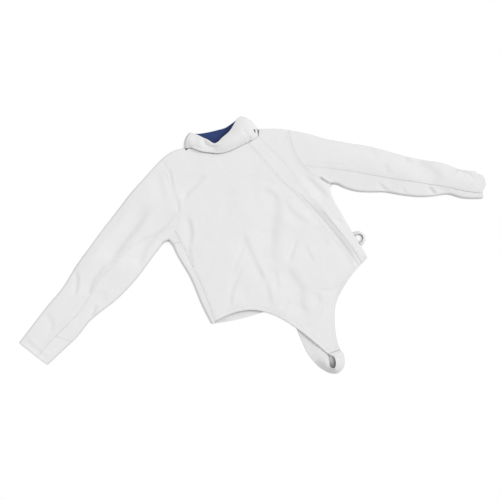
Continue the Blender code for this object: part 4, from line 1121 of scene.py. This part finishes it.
def bar_rows(name, group, rows, **values):
    """Bars along rows. Each row is a line of points and the directions off the cloth there."""
    places, offs, edges, count = [], [], [], 0
    for points, off in rows:
        places.append(points - [*CENTRE, 0])
        offs.append(np.broadcast_to(off, points.shape))
        first = np.arange(len(points) - 1) + count
        edges.append(np.column_stack([first, first + 1]))
        count += len(points)
    mesh = bpy.data.meshes.new(name)
    mesh.from_pydata(np.vstack(places).tolist(), np.vstack(edges).tolist(), [])
    attribute = mesh.attributes.new("off", "FLOAT_VECTOR", "POINT")
    attribute.data.foreach_set("vector", np.vstack(offs).astype(np.float32).reshape(-1))
    made = put(name, mesh)
    modifier = made.modifiers.new("Bars", "NODES")
    modifier.node_group = group
    for item in group.interface.items_tree:
        if item.in_out == "INPUT" and item.name in values:
            modifier[item.identifier] = values[item.name]
    graph = bpy.context.evaluated_depsgraph_get()
    whole = bpy.data.meshes.new_from_object(made.evaluated_get(graph))
    made.modifiers.clear()
    made.data = whole
    whole.name = name
    whole.shade_smooth()
    return made


def row_on_top(line, offset):
    """A row beside a plan line on the upper layer, offset to the line's left."""
    line = divided(line, max(8, int(way_along(line)[-1] / ROW_STEP)))
    points = line + offset * left_of(line)
    way = way_along(points)
    points = points[(way >= ROW_END) & (way <= way[-1] - ROW_END)]
    height = 2 * FOLD + lay_height(points) + STITCH_WIRE - THREAD_SINK
    return np.column_stack([points, height]), UP


def double_row(line, side, far=STITCH_FAR, near=STITCH_NEAR):
    return [row_on_top(line, side * near), row_on_top(line, side * far)]


def stitch_rows(cuffs, collar, normals):
    """Where the sewing shows, by the pieces that it holds."""
    left_hem = np.vstack([ZIP_LEFT[-1:], SIDE_EDGE_LEFT.inner[-1:]])
    tip = np.vstack([HEM[-1:], TAIL_LEFT[-1:]])
    rim, middle = COLLAR_ROWS - 3, COLLAR_STEPS[0] + COLLAR_STEPS[1] // 2
    fronts = [(ARM_RIGHT[: ARM_RIGHT_SIDE + 1], 1), (ARM_LEFT, -1), (ZIP_RIGHT, -1), (ZIP_LEFT, 1)]
    fronts += [(SIDE_LINE, 1), (HEM, 1, 12 * MM), (TAIL_LEFT, -1, 9 * MM), (left_hem, 1, 9 * MM)]
    fronts.append((tip, 1, 14 * MM, 3 * MM))
    off = normals[rim, 3:middle]
    return {
        "fronts": [row for line in fronts for row in double_row(*line)],
        "sleeve_right": double_row(SEAM_RIGHT, -1) + double_row(cuffs["right"], 1, 12 * MM),
        "sleeve_left": double_row(SEAM_LEFT, 1) + double_row(cuffs["left"], -1, 12 * MM),
        "collar": [(collar[rim, 3:middle] + off * (STITCH_WIRE - THREAD_SINK), off)],
    }


def coil_rows():
    """The two sides of the closed coil, on the sunk part of the placket."""
    first = round(COIL_FROM_ROW * BODY_STEPS)
    middle = (ZIP_RIGHT[first:] + ZIP_LEFT[first:]) / 2
    line = divided(middle, COIL_STEPS)
    way = way_along(line)
    rows = []
    for side, start in ((-1, 0.0), (1, COIL_PITCH / 2)):
        points = line + left_of(line) * side * COIL_WIDTH * 0.2
        share = (first + way / way[-1] * (BODY_STEPS - first)) / BODY_STEPS
        height = 2 * FOLD + lay_height(points) + placket_lift(share) + COIL_WIRE
        row = np.column_stack([points, height])
        rows.append((row[(way >= start) & (way < way[-1] - ROW_END)], UP))
    return rows


BUMP_STRENGTH, CLOTH_SPECULAR, SHEEN_ROUGHNESS = 0.6, 0.25, 0.5
# Each cloth: the colour of its threads and the darker colour painted into the hollows between them as
# shade, their pitch across and along in millimetres, after how many of them the weave repeats, slub,
# gloss, relief in millimetres and sheen
TEXTILES = {
    "white_cloth": ((0.81, 0.81, 0.81), (0.74, 0.74, 0.74), 0.55, 0.6, 2.0, 0.5, 0.88, 0.05, 0.0),
    "collar_blue": ((0.040, 0.072, 0.235), (0.018, 0.034, 0.125), 0.9, 0.8, 3.0, 1.6, 0.95, 0.15, 0.3),
    "elastic": ((0.80, 0.80, 0.80), (0.70, 0.70, 0.70), 1.7, 0.9, 3.0, 0.4, 0.8, 0.25, 0.0),
    "white_tape": ((0.81, 0.81, 0.81), (0.72, 0.72, 0.72), 0.9, 0.9, 3.0, 0.3, 0.8, 0.15, 0.0),
}
# Each plain finish: its colour, roughness, how metallic it is and how uneven its gloss
PLAIN = {
    "dark_metal": ((0.16, 0.17, 0.19), 0.38, 1.0, 0.2),
    "white_thread": ((0.72, 0.72, 0.72), 0.6, 0.0, 0.2),
    "coil_nylon": ((0.81, 0.81, 0.81), 0.4, 0.0, 0.15),
}
threads = textile_group()
cloth, blue, elastic, tape = (textile(name, threads, *look) for name, look in TEXTILES.items())
metal, thread, coil_nylon = (plain(name, *look) for name, look in PLAIN.items())

made = {**make_fronts(cloth), **make_placket(cloth), **make_back(cloth), **make_side(cloth)}
cuffs = {}
sleeves = {
    "right": (SLEEVE_TOP_RIGHT, SLEEVE_UNDER_RIGHT, ARM_RIGHT, ARM_RIGHT_SEAM, SEAM_RIGHT, CUFF_PIECE_STEPS),
    "left": (SLEEVE_TOP_LEFT, SLEEVE_UNDER_LEFT, ARM_LEFT, ARM_LEFT_SEAM, SEAM_LEFT, 0, CUFF_BULGE_LEFT),
}
for side, lines in sleeves.items():
    pieces, cuffs[side] = make_sleeve(side, cloth, *lines)
    made.update(pieces)
collar, collar_points, collar_normals = make_collar(cloth, blue)
made.update({**collar, **make_strap(elastic), **make_hip_loop(tape)})
made.update(make_hook(collar_points, collar_normals, metal))

bars = bar_rows_group()
sewing = {
    place: bar_rows("stitches_" + place, bars, rows, **STITCHES, Finish=thread)
    for place, rows in stitch_rows(cuffs, collar_points, collar_normals).items()
}
coil = bar_rows("zip_coil", bars, coil_rows(), **COIL, Finish=coil_nylon)

for node, piece in made.items():
    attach(piece, "root")
    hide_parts(node)
for piece in sewing.values():
    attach(piece, "root")
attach(coil, "root")


# The surface it lies on, the light and the camera
# The floor glows white to the camera, though it is no lamp, and ambient occlusion dims that glow near the
# cloth into painted contact shadow
FLOOR_REACH = 6.0
FLOOR_DOWN = 0.2 * MM
FLOOR_GLOW = 1.0
FLOOR_SHADE_REACH = 45 * MM
FLOOR_SHADE = (0.30, 0.57)
FLOOR_DARKEST = 0.12
FLOOR_BOUNCE = 0.35
WORLD_LIGHT = 0.80
SUN_LIGHT = 1.12
SUN_FROM = (0.99, 0.06, 0.85)
SUN_SPREAD = 24
CAMERA_DISTANCE = 2.0
CAMERA_TARGET = (-0.0384, 0.0231, 0.0)
CAMERA_LEAN = 12
CAMERA_LEAN_TO = 195
CAMERA_UP = (0.409, 0.903, 0.134)
CAMERA_LENS, CAMERA_SENSOR = 50, 36

floor_mesh = bpy.data.meshes.new("floor")
corners = [(-1, -1), (1, -1), (1, 1), (-1, 1)]
corners = [(x * FLOOR_REACH, y * FLOOR_REACH, -FLOOR_DOWN) for x, y in corners]
floor_mesh.from_pydata(corners, [], [(0, 1, 2, 3)])
floor = put("floor", floor_mesh)
# Camera rays see an even white glow, dimmed by ambient occlusion into painted shadow beside the cloth and in
# its hollows; other rays see a dim grey diffuse
glowing_floor_painted_shade, tree = bare_material("glowing_floor_painted_shade")
near = tree.add("ShaderNodeAmbientOcclusion", {"Distance": FLOOR_SHADE_REACH}, samples=8).outputs["AO"]
shade = {0: near, 1: FLOOR_SHADE[0], 2: FLOOR_SHADE[1], 3: FLOOR_DARKEST, 4: FLOOR_GLOW}
shade = tree.add("ShaderNodeMapRange", shade).outputs[0]
glow_with_painted_shade = tree.add("ShaderNodeEmission", {"Color": (1, 1, 1, 1), "Strength": shade})
bounce = tree.add("ShaderNodeBsdfDiffuse", {"Color": (FLOOR_BOUNCE, FLOOR_BOUNCE, FLOOR_BOUNCE, 1)})
direct = tree.add("ShaderNodeLightPath").outputs["Is Camera Ray"]
both = tree.add("ShaderNodeMixShader", {0: direct, 1: bounce.outputs[0], 2: glow_with_painted_shade.outputs[0]})
tree.add("ShaderNodeOutputMaterial", {"Surface": both.outputs[0]})
floor_mesh.materials.append(glowing_floor_painted_shade)

world = bpy.data.worlds.new("pale_room")
world.use_nodes = True
background = world.node_tree.nodes["Background"]
Tree(world.node_tree).feed(background, {"Color": (1, 1, 1, 1), "Strength": WORLD_LIGHT})
scene.world = world

sun = put("key_light", bpy.data.lights.new("key_light", "SUN"))
sun.data.energy = SUN_LIGHT
sun.data.angle = np.radians(SUN_SPREAD)
sun.rotation_euler = Vector(SUN_FROM).to_track_quat("Z", "Y").to_euler()

lean, to = np.radians(CAMERA_LEAN), np.radians(CAMERA_LEAN_TO)
back = Vector((np.sin(lean) * np.cos(to), np.sin(lean) * np.sin(to), np.cos(lean)))
right_way = Vector(CAMERA_UP).cross(back).normalized()
up_way = back.cross(right_way)
camera = put("camera", bpy.data.cameras.new("camera"))
camera.data.lens = CAMERA_LENS
camera.data.sensor_width = CAMERA_SENSOR
view_place = Matrix((right_way, up_way, back)).transposed().to_4x4()
view_place.translation = Vector(CAMERA_TARGET) + back * CAMERA_DISTANCE
camera.matrix_world = view_place
scene.camera = camera
scene.view_settings.view_transform = "Standard"
